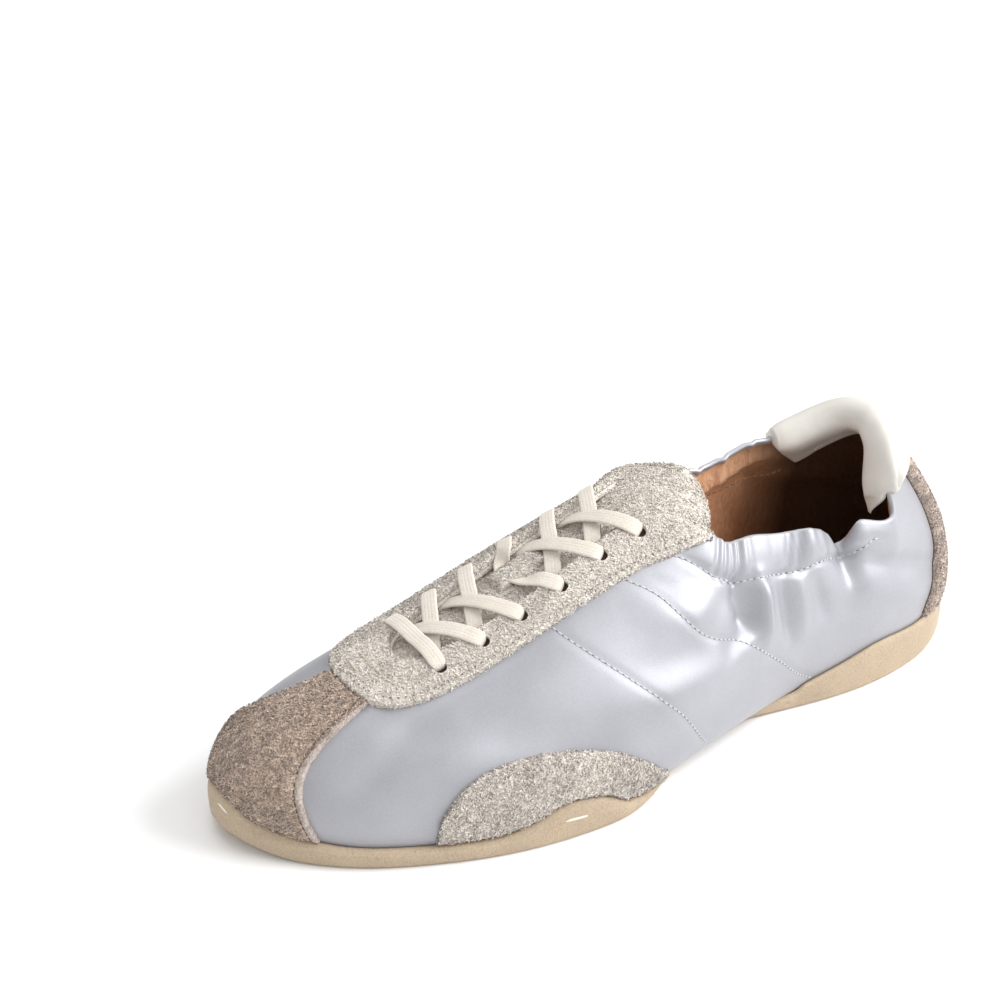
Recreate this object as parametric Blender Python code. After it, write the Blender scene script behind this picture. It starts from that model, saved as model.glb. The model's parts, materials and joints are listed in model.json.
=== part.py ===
"""A left ballet sneaker: gathered satin upper, suede overlays, flat laces and a gum sole with a raised arch.

Sizes are in millimetres, measured in the last's own terms: along is the distance from the back of the
heel, side is across (the wearer's outer side is negative) and up is the height above the floor.
Everything round the shoe is read from one table, ROUND, whose rows run from the back of the heel along
the outer side to the toe and back along the inner side.
"""

import math
from collections import namedtuple

import bmesh
import bpy
import numpy as np
from mathutils import Matrix, Vector

MM = 0.001
LAST_MIDDLE = 118.75
LAST_AXIS = -6.95

WALL = 1.8
MARGIN = 13.0
MARGIN_THICK = 1.2
GAP = 0.3
OVERLAY_GAP = 0.45
SUEDE = 1.4
LIP_EDGE = 1.3
LIP_FROM = 1.3
LIP_FADE = 0.4
PAD = 4.8
INSOLE_THICK = 2.0
INSOLE_CLEAR = 0.6
TONGUE_THICK = 2.0
LACE_WIDTH = 5.0
LACE_THICK = 1.3
LACE_CLEAR = 0.35
LACE_CELLS = 8
LACE_DIVE = 2.6
CROSS_LIFT = 0.4
EYELET_RADIUS = 1.9

UPPER_ROWS = 8
LIP_ROWS = 2
TUCK_STEP = 0.2
CAP_BARS = 3
ARC_SAMPLES = 24

# One row for each station round the last. top_ columns give the edge of the opening (collar, then throat).
# flare and lean are the wall's angles at the feather line and at the opening, low_pull and high_pull how
# far each angle carries. edge is how far the sole stands out from the upper (in, where negative).
Station = namedtuple(
    "Station", "along side top_along top_side top_up flare low_pull lean high_pull edge cells"
)
ROUND = (
    Station(-6.5, 0, 18.5, 0, 78, 14, 26, 65, 23, 2.6, 4),
    Station(1.5, -16, 22, -11.5, 74, 17, 24, 65, 22, 2.8, 6),
    Station(30, -25.6, 33, -19.5, 57, 24, 17, 66, 15, 2.8, 8),
    Station(61, -26, 58, -21, 58, 30, 17, 64, 15, 1.8, 6),
    Station(95, -33, 82, -21, 63.5, 42, 20, 58, 16, -5.6, 6),
    Station(128, -42.5, 91.5, -20.5, 67, 28, 24, 42, 20, 1.4, 4),
    Station(150, -46.5, 108, -8.5, 72.5, 12, 26, 33, 26, 2.6, 4),
    Station(175, -44, 138, -8.5, 62.5, 8, 24, 29, 25, 2.8, 4),
    Station(200, -36, 165, -8.5, 52.5, 8, 21, 27, 23, 2.8, 4),
    Station(221, -24.5, 182, -7.5, 47.2, 8, 19, 22, 23, 2.8, 4),
    Station(237, -8, 188, -4, 45.4, 12, 20, 15, 28, 3.2, 4),
    Station(244, 6, 189.5, 2, 44.9, 14, 21, 13, 29, 2.6, 4),
    Station(238, 19, 188, 7, 45.6, 18, 23, 14, 28, 2.6, 4),
    Station(221, 28.5, 182, 10.5, 47.6, 20, 25, 19, 24, 2.6, 4),
    Station(198, 32.5, 165, 11.5, 53.4, 17, 25, 23, 24, 2.6, 4),
    Station(172, 31, 138, 12, 63.6, 16, 25, 25, 25, 2.4, 4),
    Station(145, 25, 108, 12, 73.5, 23, 27, 29, 26, 1.6, 4),
    Station(118, 18.5, 94, 22, 69.5, 38, 26, 42, 20, -3.6, 6),
    Station(90, 18.5, 80, 22.5, 66, 42, 22, 58, 16, -5.6, 6),
    Station(61, 24, 59, 21, 66.5, 30, 18, 64, 15, 1.8, 8),
    Station(30, 25.6, 38, 18, 69.5, 24, 18, 66, 17, 2.8, 6),
    Station(1.5, 16, 23, 11, 76, 17, 24, 65, 22, 2.8, 4),
)
COLUMNS = Station._fields
ROWS = len(ROUND)
TOE = ROWS // 2

# Gathers of the elastic collar: where they are, how wide, how far they push out and lift the edge.
Fold = namedtuple("Fold", "along width push rise")
OUTER_FOLDS = (
    Fold(58.5, 5.0, 2.0, 1.0),
    Fold(47.5, 4.2, -2.6, -5.4),
    Fold(39.5, 4.0, 1.8, 1.4),
    Fold(32.5, 3.4, 3.0, -2.4),
)
INNER_FOLDS = (
    Fold(84.0, 3.8, 1.2, 0.6),
    Fold(74.0, 4.2, -1.4, -1.0),
    Fold(64.0, 4.4, 1.4, 0.8),
    Fold(54.0, 4.4, -1.2, -0.8),
)

# Heights along the shoe: the tread lifts at the back of the heel, at the arch and at the toe.
HEEL_BACK = -9.0
HEEL_FLAT = (14.0, 64.0)
FOREFOOT_FLAT = (146.0, 229.0)
HEEL_ROLL = 9.0
ARCH_RISE = 2.2
TOE_SPRING = 6.0
TREAD_END = 247.0
TREAD_ROUND = 1.6
Level = namedtuple("Level", "along up")
PLATE = (
    Level(-8, 10.4),
    Level(36, 8.0),
    Level(55, 6.8),
    Level(75, 5.4),
    Level(100, 5.0),
    Level(130, 4.6),
    Level(160, 4.5),
    Level(205, 4.8),
    Level(228, 6.0),
    Level(244, 9.6),
    Level(256, 13.0),
)

Slice = namedtuple("Slice", "along side up half drop")
TONGUE = (
    Slice(202, 2.0, 37.8, 10.0, 3.4),
    Slice(192, 2.0, 41.4, 13.0, 4.6),
    Slice(183, 2.0, 45.0, 15.0, 5.6),
    Slice(165, 2.0, 51.3, 16.5, 6.4),
    Slice(138, 2.0, 61.4, 17.5, 8.0),
    Slice(108, 2.0, 71.8, 18.0, 10.4),
    Slice(98, 1.6, 75.4, 18.0, 11.4),
    Slice(88, 1.2, 78.4, 16.5, 10.4),
)
TONGUE_CELLS = 3
TONGUE_ACROSS = 6

# How far the sole's wall climbs the upper, round the shoe, with the wave at the outer ball.
Band = namedtuple("Band", "row width")
LIP = (
    Band(0.0, 6.0),
    Band(1.0, 4.8),
    Band(1.4, 4.6),
    Band(2.15, 7.2),
    Band(2.55, 4.4),
    Band(2.9, 2.4),
    Band(3.3, 1.0),
    Band(3.7, 0.0),
    Band(5.1, 0.0),
    Band(5.5, 1.2),
    Band(5.9, 5.6),
    Band(6.25, 7.4),
    Band(6.55, 7.2),
    Band(6.85, 3.8),
    Band(7.2, 1.8),
    Band(7.7, 1.3),
    Band(9.4, 1.2),
    Band(10.1, 2.2),
    Band(11.0, 7.0),
    Band(11.8, 5.0),
    Band(12.6, 1.6),
    Band(15.4, 1.4),
    Band(16.2, 0.8),
    Band(16.6, 0.0),
    Band(18.4, 0.0),
    Band(18.7, 1.0),
    Band(19.1, 2.4),
    Band(19.45, 4.4),
    Band(19.85, 7.2),
    Band(20.6, 4.6),
    Band(21.0, 4.8),
    Band(22.0, 6.0),
)

# Overlays, as distances on the upper: from its bottom edge (low) or from the edge of its opening (high).
EYESTAY = (
    Band(5.12, 1.6),
    Band(5.4, 7.5),
    Band(5.7, 13.5),
    Band(6.1, 18.0),
    Band(7.2, 16.8),
    Band(8.3, 18.2),
    Band(9.0, 18.4),
    Band(10.0, 18.0),
    Band(11.0, 17.2),
    Band(12.0, 18.0),
    Band(13.0, 18.4),
    Band(13.7, 18.2),
    Band(14.8, 16.8),
    Band(15.9, 18.0),
    Band(16.3, 13.5),
    Band(16.6, 7.5),
    Band(16.88, 1.6),
)
EYESTAY_STEP = 0.2
EYESTAY_CELLS = 2
EYELET_ROWS = (
    Band(8.58, 8.0),
    Band(7.93, 7.0),
    Band(7.45, 6.2),
    Band(6.98, 6.2),
    Band(6.53, 6.2),
    Band(6.09, 5.4),
)

Wing = namedtuple("Wing", "share outer inner")
TOE_CAP = (
    Wing(0.0, 9.3, 12.6),
    Wing(0.2, 9.52, 12.44),
    Wing(0.34, 9.66, 12.26),
    Wing(0.5, 9.76, 12.0),
    Wing(0.68, 9.8, 11.74),
    Wing(0.85, 9.78, 11.62),
    Wing(1.0, 9.74, 11.6),
)
TOE_CAP_CELLS = (8, 14)

PATCH = (
    Band(4.86, 3.0),
    Band(5.22, 10.4),
    Band(5.6, 15.6),
    Band(6.0, 19.6),
    Band(6.65, 23.6),
    Band(7.25, 23.4),
    Band(7.64, 18.6),
    Band(7.86, 10.6),
    Band(7.92, 3.0),
)
PATCH_CELLS = (16, 4)

Span = namedtuple("Span", "share half")
HEEL_STRIP = (
    Span(0.0, 1.36),
    Span(0.18, 1.24),
    Span(0.34, 0.98),
    Span(0.5, 0.8),
    Span(0.7, 0.7),
    Span(0.88, 0.78),
    Span(1.0, 1.05),
)
HEEL_STRIP_CELLS = (10, 9)

Flap = namedtuple("Flap", "row outside inside")
HEEL_TAB = (
    Flap(-2.125, 4.0, 8.0),
    Flap(-1.6, 6.6, 11.5),
    Flap(-1.1, 11.6, 14.5),
    Flap(0.0, 15.0, 16.0),
    Flap(1.1, 12.0, 14.5),
    Flap(1.5, 7.4, 11.5),
    Flap(1.834, 4.4, 8.0),
)
TAB_STEPS = 3
TAB_EDGE = 1.4

COLOURS = {
    "satin": ((0.56, 0.57, 0.63), 0.32, 0.25),
    "taupe_suede": ((0.42, 0.31, 0.24), 0.95, 0.0),
    "cream_suede": ((0.68, 0.62, 0.53), 0.95, 0.0),
    "grey_suede": ((0.55, 0.50, 0.44), 0.95, 0.0),
    "cream_leather": ((0.80, 0.76, 0.68), 0.5, 0.0),
    "tan_leather": ((0.33, 0.16, 0.07), 0.55, 0.0),
    "gum_rubber": ((0.62, 0.46, 0.26), 0.6, 0.0),
    "cotton": ((0.80, 0.74, 0.63), 0.9, 0.0),
}


def smooth_step(x):
    x = np.clip(x, 0.0, 1.0)
    return x * x * (3.0 - 2.0 * x)


def curve_through(places, values, at):
    """A smooth curve through (place, value) rows, with level ends, read at given places."""
    places = np.asarray(places, float)
    values = np.asarray(values, float)
    slopes = np.gradient(values, places, axis=0)
    at = np.clip(np.asarray(at, float), places[0], places[-1])
    i = np.clip(np.searchsorted(places, at, side="right") - 1, 0, len(places) - 2)
    step = places[i + 1] - places[i]
    u = (at - places[i]) / step
    if values.ndim == 2:
        u = u[..., None]
        step = step[..., None]
    low = values[i] * (1 + 2 * u) * (1 - u) ** 2 + slopes[i] * step * u * (1 - u) ** 2
    high = values[i + 1] * u * u * (3 - 2 * u) + slopes[i + 1] * step * u * u * (u - 1)
    return low + high


def ring_bends(values):
    """Second differences of the closed smooth curve through the rows of ROUND."""
    n = len(values)
    weights = 4 * np.eye(n) + np.roll(np.eye(n), 1, axis=1) + np.roll(np.eye(n), -1, axis=1)
    rises = np.roll(values, 1, axis=0) - 2 * values + np.roll(values, -1, axis=0)
    return np.linalg.solve(weights, 6 * rises)


ROUND_VALUES = np.array(ROUND, float)
ROUND_BENDS = ring_bends(ROUND_VALUES)


def station(t):
    """The columns of ROUND at t, counted in rows round the shoe, as a dict of arrays."""
    t = np.asarray(t, float) % ROWS
    i = np.floor(t).astype(int) % ROWS
    j = (i + 1) % ROWS
    u = (t - np.floor(t))[..., None]
    w = 1 - u
    bend = (w**3 - w) * ROUND_BENDS[i] + (u**3 - u) * ROUND_BENDS[j]
    row = w * ROUND_VALUES[i] + u * ROUND_VALUES[j] + bend / 6
    return {name: row[..., k] for k, name in enumerate(COLUMNS)}


def plate(along):
    """Height of the sole's top, where the upper's bottom edge stands."""
    return curve_through([p.along for p in PLATE], [p.up for p in PLATE], along)


def tread(along):
    """Height of the sole's underside: flat under heel and forefoot, lifted elsewhere."""
    along = np.asarray(along, float)
    back = HEEL_ROLL * np.clip((HEEL_FLAT[0] - along) / (HEEL_FLAT[0] - HEEL_BACK), 0, None) ** 2
    waist = np.clip((along - HEEL_FLAT[1]) / (FOREFOOT_FLAT[0] - HEEL_FLAT[1]), 0, 1)
    arch = ARCH_RISE * np.sin(math.pi * waist) ** 2
    front = np.clip((along - FOREFOOT_FLAT[1]) / (TREAD_END - FOREFOOT_FLAT[1]), 0, None)
    return back + arch + TOE_SPRING * front**2


def feather(t):
    """The upper's bottom edge, and the direction that points straight out of the shoe there."""
    row = station(t)
    point = np.stack([row["along"], row["side"], plate(row["along"])], -1)
    ahead, behind = station(np.asarray(t) + 0.01), station(np.asarray(t) - 0.01)
    out = np.stack(
        [ahead["side"] - behind["side"], behind["along"] - ahead["along"], 0 * row["along"]], -1
    )
    return point, out / np.linalg.norm(out, axis=-1, keepdims=True), row


def gather(along, t):
    """Push and rise of the collar's gathers at stations along the collar."""
    push = np.zeros_like(along)
    rise = np.zeros_like(along)
    outer = (t % ROWS) < TOE
    for side, folds in ((outer, OUTER_FOLDS), (~outer, INNER_FOLDS)):
        for fold in folds:
            bump = np.exp(-(((along - fold.along) / fold.width) ** 2)) * side
            push += fold.push * bump
            rise += fold.rise * bump
    return push, rise


def wall(t, v):
    """A point of the upper's outer face: t in rows round the shoe, v from bottom edge (0) to opening (1)."""
    t, v = np.broadcast_arrays(np.asarray(t, float), np.asarray(v, float))
    foot, out, row = feather(t)
    top = np.stack([row["top_along"], row["top_side"], row["top_up"]], -1)
    up = np.array([0.0, 0.0, 1.0])
    heading = (top - foot) * np.array([1.0, 1.0, 0.0]) - 12.0 * out
    heading /= np.linalg.norm(heading, axis=-1, keepdims=True)
    flare, lean = np.radians(row["flare"])[..., None], np.radians(row["lean"])[..., None]
    low = foot + row["low_pull"][..., None] * (out * np.sin(flare) + up * np.cos(flare))
    high = top - row["high_pull"][..., None] * (heading * np.cos(lean) + up * np.sin(lean))
    s = v[..., None]
    point = (1 - s) ** 3 * foot + 3 * s * (1 - s) ** 2 * low + 3 * s * s * (1 - s) * high + s**3 * top
    push, rise = gather(row["top_along"], t)
    hold = smooth_step((v - 0.45) / 0.5)
    return point + (hold * push)[..., None] * out + (hold * rise)[..., None] * up


def skin(t, v, offset):
    """A point offset mm outside the upper's outer face (inside where offset is negative)."""
    t, v = np.broadcast_arrays(np.asarray(t, float), np.asarray(v, float))
    round_way = wall(t + 0.02, v) - wall(t - 0.02, v)
    v_low, v_high = np.clip(v - 0.02, 0, 1), np.clip(v + 0.02, 0, 1)
    up_way = wall(t, v_high) - wall(t, v_low)
    normal = np.cross(round_way, up_way)
    normal /= np.linalg.norm(normal, axis=-1, keepdims=True)
    return wall(t, v) + normal * np.asarray(offset)[..., None]


def climb(t, distance, from_top=False):
    """The v that lies a given distance up the wall from its bottom edge, or down from its opening."""
    t, distance = np.broadcast_arrays(np.asarray(t, float), np.asarray(distance, float))
    samples = np.linspace(0, 1, ARC_SAMPLES + 1)
    points = wall(t[..., None], samples)
    lengths = np.linalg.norm(np.diff(points, axis=-2), axis=-1)
    runs = np.concatenate([np.zeros(t.shape + (1,)), np.cumsum(lengths, -1)], -1)
    wanted = runs[..., -1] - distance if from_top else distance
    flat_runs, flat_wanted = runs.reshape(-1, ARC_SAMPLES + 1), np.ravel(wanted)
    found = [np.interp(w, r, samples) for w, r in zip(flat_wanted, flat_runs)]
    return np.array(found).reshape(t.shape)


def columns_round():
    """The t of every column of the upper, with each row's own number of cells after it."""
    return np.concatenate([i + np.arange(r.cells) / r.cells for i, r in enumerate(ROUND)])


def to_world(points):
    """Last terms in millimetres to metres: the toe points to -X, the outer side to -Y."""
    p = np.asarray(points, float)
    x = LAST_MIDDLE - p[..., 0]
    y = p[..., 1] - LAST_AXIS
    return np.stack([x, y, p[..., 2]], -1) * MM


def material(name):
    if name in bpy.data.materials:
        return bpy.data.materials[name]
    colour, roughness, metallic = COLOURS[name]
    made = bpy.data.materials.new(name)
    made.use_nodes = True
    shader = made.node_tree.nodes["Principled BSDF"]
    shader.inputs["Base Color"].default_value = (*colour, 1.0)
    shader.inputs["Roughness"].default_value = roughness
    shader.inputs["Metallic"].default_value = metallic
    return made


def add_object(name, points, faces, finish):
    """One named object from points in last terms and faces, with its normals pointing out."""
    mesh = bpy.data.meshes.new(name)
    mesh.from_pydata([tuple(p) for p in to_world(points)], [], faces)
    shell = bmesh.new()
    shell.from_mesh(mesh)
    bmesh.ops.recalc_face_normals(shell, faces=shell.faces)
    bmesh.ops.triangulate(shell, faces=shell.faces)
    shell.to_mesh(mesh)
    shell.free()
    mesh.shade_smooth()
    mesh.set_sharp_from_angle(angle=math.radians(40))
    mesh.materials.append(material(finish))
    made = bpy.data.objects.new(name, mesh)
    bpy.context.collection.objects.link(made)
    made.parent = bpy.data.objects["shoe"]
    return made


def bridge(n, first, second):
    """Faces between two closed loops of n points that start at these indices."""
    return [(first + i, first + (i + 1) % n, second + (i + 1) % n, second + i) for i in range(n)]


def tube_faces(n, loops):
    """Faces of a stack of loops whose last loop meets the first: a closed wall round an opening."""
    return [f for k in range(loops) for f in bridge(n, k * n, (k + 1) % loops * n)]


def slab(name, top, bottom, finish):
    """A closed sheet between two grids of the same shape."""
    rows, cols = top.shape[:2]
    count = rows * cols
    faces = []
    for a in range(rows - 1):
        for b in range(cols - 1):
            quad = (a * cols + b, a * cols + b + 1, (a + 1) * cols + b + 1, (a + 1) * cols + b)
            faces.append(quad)
            faces.append(tuple(count + i for i in reversed(quad)))
    rim = [b for b in range(cols)]
    rim += [a * cols + cols - 1 for a in range(1, rows)]
    rim += [(rows - 1) * cols + b for b in range(cols - 2, -1, -1)]
    rim += [a * cols for a in range(rows - 2, 0, -1)]
    for i, j in zip(rim, rim[1:] + rim[:1]):
        faces.append((i, j, count + j, count + i))
    points = np.concatenate([top.reshape(-1, 3), bottom.reshape(-1, 3)])
    return add_object(name, points, faces, finish)


def cap(points, faces, start, n, height):
    """Closes a loop with bars from its outer to its inner side; height gives the level at each place."""
    ring = points[start : start + n]
    half = n // 2
    bars = {0: [start] * (CAP_BARS + 1), half: [start + half] * (CAP_BARS + 1)}
    for i in range(1, half):
        a, b = ring[i], ring[n - i]
        bar = [start + i]
        for k in range(1, CAP_BARS):
            p = a + (b - a) * k / CAP_BARS
            points.append(np.array([p[0], p[1], height(p[0])]))
            bar.append(len(points) - 1)
        bars[i] = bar + [start + n - i]
    for i in range(half):
        for k in range(CAP_BARS):
            quad = [bars[i][k], bars[i][k + 1], bars[i + 1][k + 1], bars[i + 1][k]]
            faces.append(tuple(dict.fromkeys(quad)))


def plug(name, loops, height_low, height_high, finish):
    """A closed solid from a stack of loops, the first and the last closed across."""
    n = len(loops[0])
    points = [p for loop in loops for p in loop]
    faces = [f for k in range(len(loops) - 1) for f in bridge(n, k * n, (k + 1) * n)]
    cap(points, faces, 0, n, height_low)
    cap(points, faces, (len(loops) - 1) * n, n, height_high)
    return add_object(name, np.array(points), faces, finish)


def lip(t):
    """How far up the wall the sole's lip reaches, in mm."""
    rows = np.array(LIP, float)
    height = np.clip(curve_through(rows[:, 0], rows[:, 1], np.asarray(t, float) % ROWS), 0, None)
    return height * smooth_step((station(t)["edge"] - LIP_FROM) / LIP_FADE)


def lip_v(t):
    return climb(t, lip(t))


def make_upper():
    t = columns_round()
    shares = np.linspace(0, 1, UPPER_ROWS + 1)
    outside = [skin(t, v, 0.0) for v in shares]
    inside = [skin(t, v, -WALL) for v in reversed(shares)]
    inside[-1][:, 2] = plate(inside[-1][:, 0]) + MARGIN_THICK
    foot, out, _ = feather(t)
    turned = foot - out * MARGIN
    turned[:, 2] = plate(turned[:, 0])
    loops = [turned] + outside + inside + [turned + np.array([0, 0, MARGIN_THICK])]
    return add_object("upper", np.concatenate(loops), tube_faces(len(t), len(loops)), "satin")


def make_outsole():
    t = columns_round()
    foot, out, row = feather(t)
    edge = row["edge"][:, None]
    under = foot + out * (edge - TREAD_ROUND)
    under[:, 2] = tread(under[:, 0])
    side = foot + out * edge
    side[:, 2] = under[:, 2] + TREAD_ROUND
    loops = [under, side]
    top = lip_v(t)
    cling = smooth_step((row["edge"] + 1.0) / 2.4)[:, None]
    outside = [(k / LIP_ROWS, True) for k in range(LIP_ROWS + 1)]
    inside = [(k / LIP_ROWS, False) for k in range(LIP_ROWS, -1, -1)]
    for count, (share, outer) in enumerate(outside + inside):
        thick = np.maximum(row["edge"], LIP_EDGE) * (1 - share) + LIP_EDGE * share
        wrapped = skin(t, top * share, GAP + thick * outer)
        lowest = share == 0 and not outer
        wrapped[:, 2] -= GAP if lowest else GAP * (1 - cling[:, 0])
        tucked = foot + out * (edge - TUCK_STEP * (count + 1))
        tucked[:, 2] -= GAP
        loops.append(tucked + (wrapped - tucked) * cling)
    seat = foot + out * (np.minimum(edge, 0) - WALL - TUCK_STEP * 9)
    seat[:, 2] = plate(seat[:, 0]) - GAP
    loops.append(seat)
    return plug("outsole", loops, tread, lambda along: float(plate(along)) - GAP, "gum_rubber")


def make_insole():
    foot, out, _ = feather(columns_round()[::2])
    loops = []
    low = MARGIN_THICK + GAP
    levels = [lambda along, rise=rise: plate(along) + rise for rise in (low, low + INSOLE_THICK)]
    for level in levels:
        ring = foot - out * (WALL + INSOLE_CLEAR)
        ring[:, 2] = level(ring[:, 0])
        loops.append(ring)
    return plug("insole", loops, *levels, "tan_leather")


def make_tongue():
    places = [-s.along for s in TONGUE]
    stations = np.linspace(places[0], places[-1], (len(TONGUE) - 1) * TONGUE_CELLS + 1)
    rows = curve_through(places, np.array(TONGUE, float), stations)
    across = np.linspace(-1, 1, TONGUE_ACROSS + 1)
    along = rows[:, 0:1] + 0 * across
    end = rows[-1, 0]
    rounding = np.sqrt(np.clip(1 - ((end + 15.0 - along) / 15.0).clip(0, 1) ** 3, 0.12, 1))
    side = rows[:, 1:2] + rows[:, 3:4] * rounding * across
    up = rows[:, 2:3] - rows[:, 4:5] * across**2
    top = np.stack([along, side, up], -1)
    bottom = top - np.array([0, 0, TONGUE_THICK])
    return slab("tongue", top, bottom, "cream_suede")


def eyestay_low(t):
    """The v of the eyestay's outer edge."""
    return climb(t, curve_through([b.row for b in EYESTAY], [b.width for b in EYESTAY], t), True)


def eyelets():
    """(t, v) of each eyelet, outer row then inner row, from the toe backwards."""
    outer = np.array([e.row for e in EYELET_ROWS])
    inset = np.array([e.width for e in EYELET_ROWS])
    return [(t, climb(t, inset, True)) for t in (outer, ROWS - outer)]


def make_eyestay():
    first, last = EYESTAY[0].row, EYESTAY[-1].row
    t = np.linspace(first, last, round((last - first) / EYESTAY_STEP) + 1)
    share = np.linspace(0, 1, EYESTAY_CELLS + 1)
    v = eyestay_low(t)[:, None] * (1 - share) + 1.0 * share
    t = t[:, None] + 0 * share
    return slab("eyestay", skin(t, v, OVERLAY_GAP + SUEDE), skin(t, v, OVERLAY_GAP), "cream_suede")


def punch(target, places):
    """Cuts a round hole through the eyestay at each eyelet."""
    cutters = bmesh.new()
    for t, v in places:
        for tk, vk in zip(t, v):
            low, high = skin(tk, vk, -WALL - 2), skin(tk, vk, SUEDE + 3)
            a, b = (to_world(p) for p in (low, high))
            axis = b - a
            turn = Vector((0, 0, 1)).rotation_difference(Vector(axis)).to_matrix().to_4x4()
            place = Matrix.Translation(Vector((a + b) / 2)) @ turn
            bmesh.ops.create_cone(
                cutters,
                cap_ends=True,
                segments=8,
                radius1=EYELET_RADIUS * MM,
                radius2=EYELET_RADIUS * MM,
                depth=float(np.linalg.norm(axis)),
                matrix=place,
            )
    mesh = bpy.data.meshes.new("eyelet_punches")
    cutters.to_mesh(mesh)
    cutters.free()
    tool = bpy.data.objects.new("eyelet_punches", mesh)
    bpy.context.collection.objects.link(tool)
    tool.hide_render = True
    tool.display_type = "WIRE"
    cut = target.modifiers.new("eyelets", "BOOLEAN")
    cut.operation = "DIFFERENCE"
    cut.object = tool


def make_toe_cap():
    across, along = TOE_CAP_CELLS
    share = np.linspace(0, 1, along + 1)[:, None]
    wing = curve_through([w.share for w in TOE_CAP], np.array(TOE_CAP, float), share[:, 0])
    mix = np.linspace(0, 1, across + 1)
    t = wing[:, 1:2] * (1 - mix) + wing[:, 2:3] * mix
    foot, back = lip_v(t) + 0.01, eyestay_low(t) - 0.012
    v = foot * (1 - share) + back * share
    return slab("toe_cap", skin(t, v, OVERLAY_GAP + SUEDE), skin(t, v, OVERLAY_GAP), "taupe_suede")


def make_side_patch():
    across, up = PATCH_CELLS
    places = np.linspace(0, len(PATCH) - 1, across + 1)
    rim = curve_through(range(len(PATCH)), np.array(PATCH, float), places)
    t, height = rim[:, 0], rim[:, 1]
    low = lip(t) + 1.0
    height = np.maximum(height, low + 0.8)
    rise = np.linspace(0, 1, up + 1)
    v = climb(t[:, None] + 0 * rise, low[:, None] * (1 - rise) + height[:, None] * rise)
    t = t[:, None] + 0 * rise
    return slab("side_patch", skin(t, v, OVERLAY_GAP + SUEDE), skin(t, v, OVERLAY_GAP), "grey_suede")


def tab_reach(t):
    """How far the heel tab's outer and inner flaps hang from the edge of the collar."""
    rows = np.array(HEEL_TAB, float)
    flaps = curve_through(rows[:, 0], rows, t)
    return flaps[..., 1], flaps[..., 2]


def make_heel_strip():
    across, up = HEEL_STRIP_CELLS
    share = np.linspace(0, 1, up + 1)
    rows = np.array(HEEL_STRIP, float)
    half = curve_through(rows[:, 0], rows[:, 1], share)
    t = half[:, None] * np.linspace(-1, 1, across + 1)
    share = share[:, None]
    low = lip_v(t) + 0.012
    high = climb(t, tab_reach(t)[0] + 0.6, True)
    v = low * (1 - share) + high * share
    return slab("heel_strip", skin(t, v, OVERLAY_GAP + SUEDE), skin(t, v, OVERLAY_GAP), "taupe_suede")


def make_heel_tab():
    """A padded fold over the back of the collar: up its outside, over the edge and down its inside."""
    t = columns_round()
    t = np.sort(np.where(t > TOE, t - ROWS, t))
    t = t[(t >= HEEL_TAB[0].row) & (t <= HEEL_TAB[-1].row)]
    ends = np.abs(2 * (t - t[0]) / (t[-1] - t[0]) - 1)
    swell = TAB_EDGE + (PAD - TAB_EDGE) * np.sqrt(np.clip(1 - ends**6, 0.15, 1))
    outside, inside = tab_reach(t)
    shares = np.linspace(0, 1, TAB_STEPS + 1)
    near, far = [], []
    for share in shares:
        v = climb(t, outside * (1 - share), True)
        near.append(skin(t, v, GAP))
        far.append(skin(t, v, GAP + TAB_EDGE + (swell - TAB_EDGE) * smooth_step(share)))
    middle = (skin(t, 1.0, 0.0) + skin(t, 1.0, -WALL)) / 2
    rise = skin(t, 1.0, 0.0) - skin(t, 0.97, 0.0)
    rise /= np.linalg.norm(rise, axis=-1, keepdims=True)
    near.append(middle + rise * 2 * GAP)
    far.append(middle + rise * (GAP + swell)[:, None])
    for share in shares[::-1]:
        v = climb(t, inside * (1 - share), True)
        near.append(skin(t, v, -WALL - GAP))
        far.append(skin(t, v, -WALL - GAP - TAB_EDGE - (swell - TAB_EDGE) * smooth_step(share)))
    return slab("heel_tab", np.stack(far), np.stack(near), "cream_leather")


def edge_level(along):
    """The t on the outer side where the throat's edge lies at a place along the shoe."""
    t = np.linspace(5.5, TOE, 200)
    return np.interp(along, station(t)["top_along"], t)


def normal_at(t, v):
    return skin(t, v, 1.0) - skin(t, v, 0.0)


def strap(stops):
    """A flat lace through (place, up) stops, as its top and bottom grids."""
    places = np.array([p for p, _ in stops])
    ups = np.array([u for _, u in stops])
    runs = np.concatenate([[0.0], np.cumsum(np.linalg.norm(np.diff(places, axis=0), axis=1))])
    at = np.linspace(0, runs[-1], LACE_CELLS + 1)
    line = curve_through(runs, places, at)
    up = curve_through(runs, ups, at)
    way = np.gradient(line, axis=0)
    across = np.cross(way, up)
    across /= np.linalg.norm(across, axis=1, keepdims=True)
    up = np.cross(across, way)
    up /= np.linalg.norm(up, axis=1, keepdims=True)
    half = across * LACE_WIDTH / 2
    thick = up * LACE_THICK / 2
    top = np.stack([line - half + thick, line + half + thick])
    bottom = np.stack([line - half - thick, line + half - thick])
    return top, bottom


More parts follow.
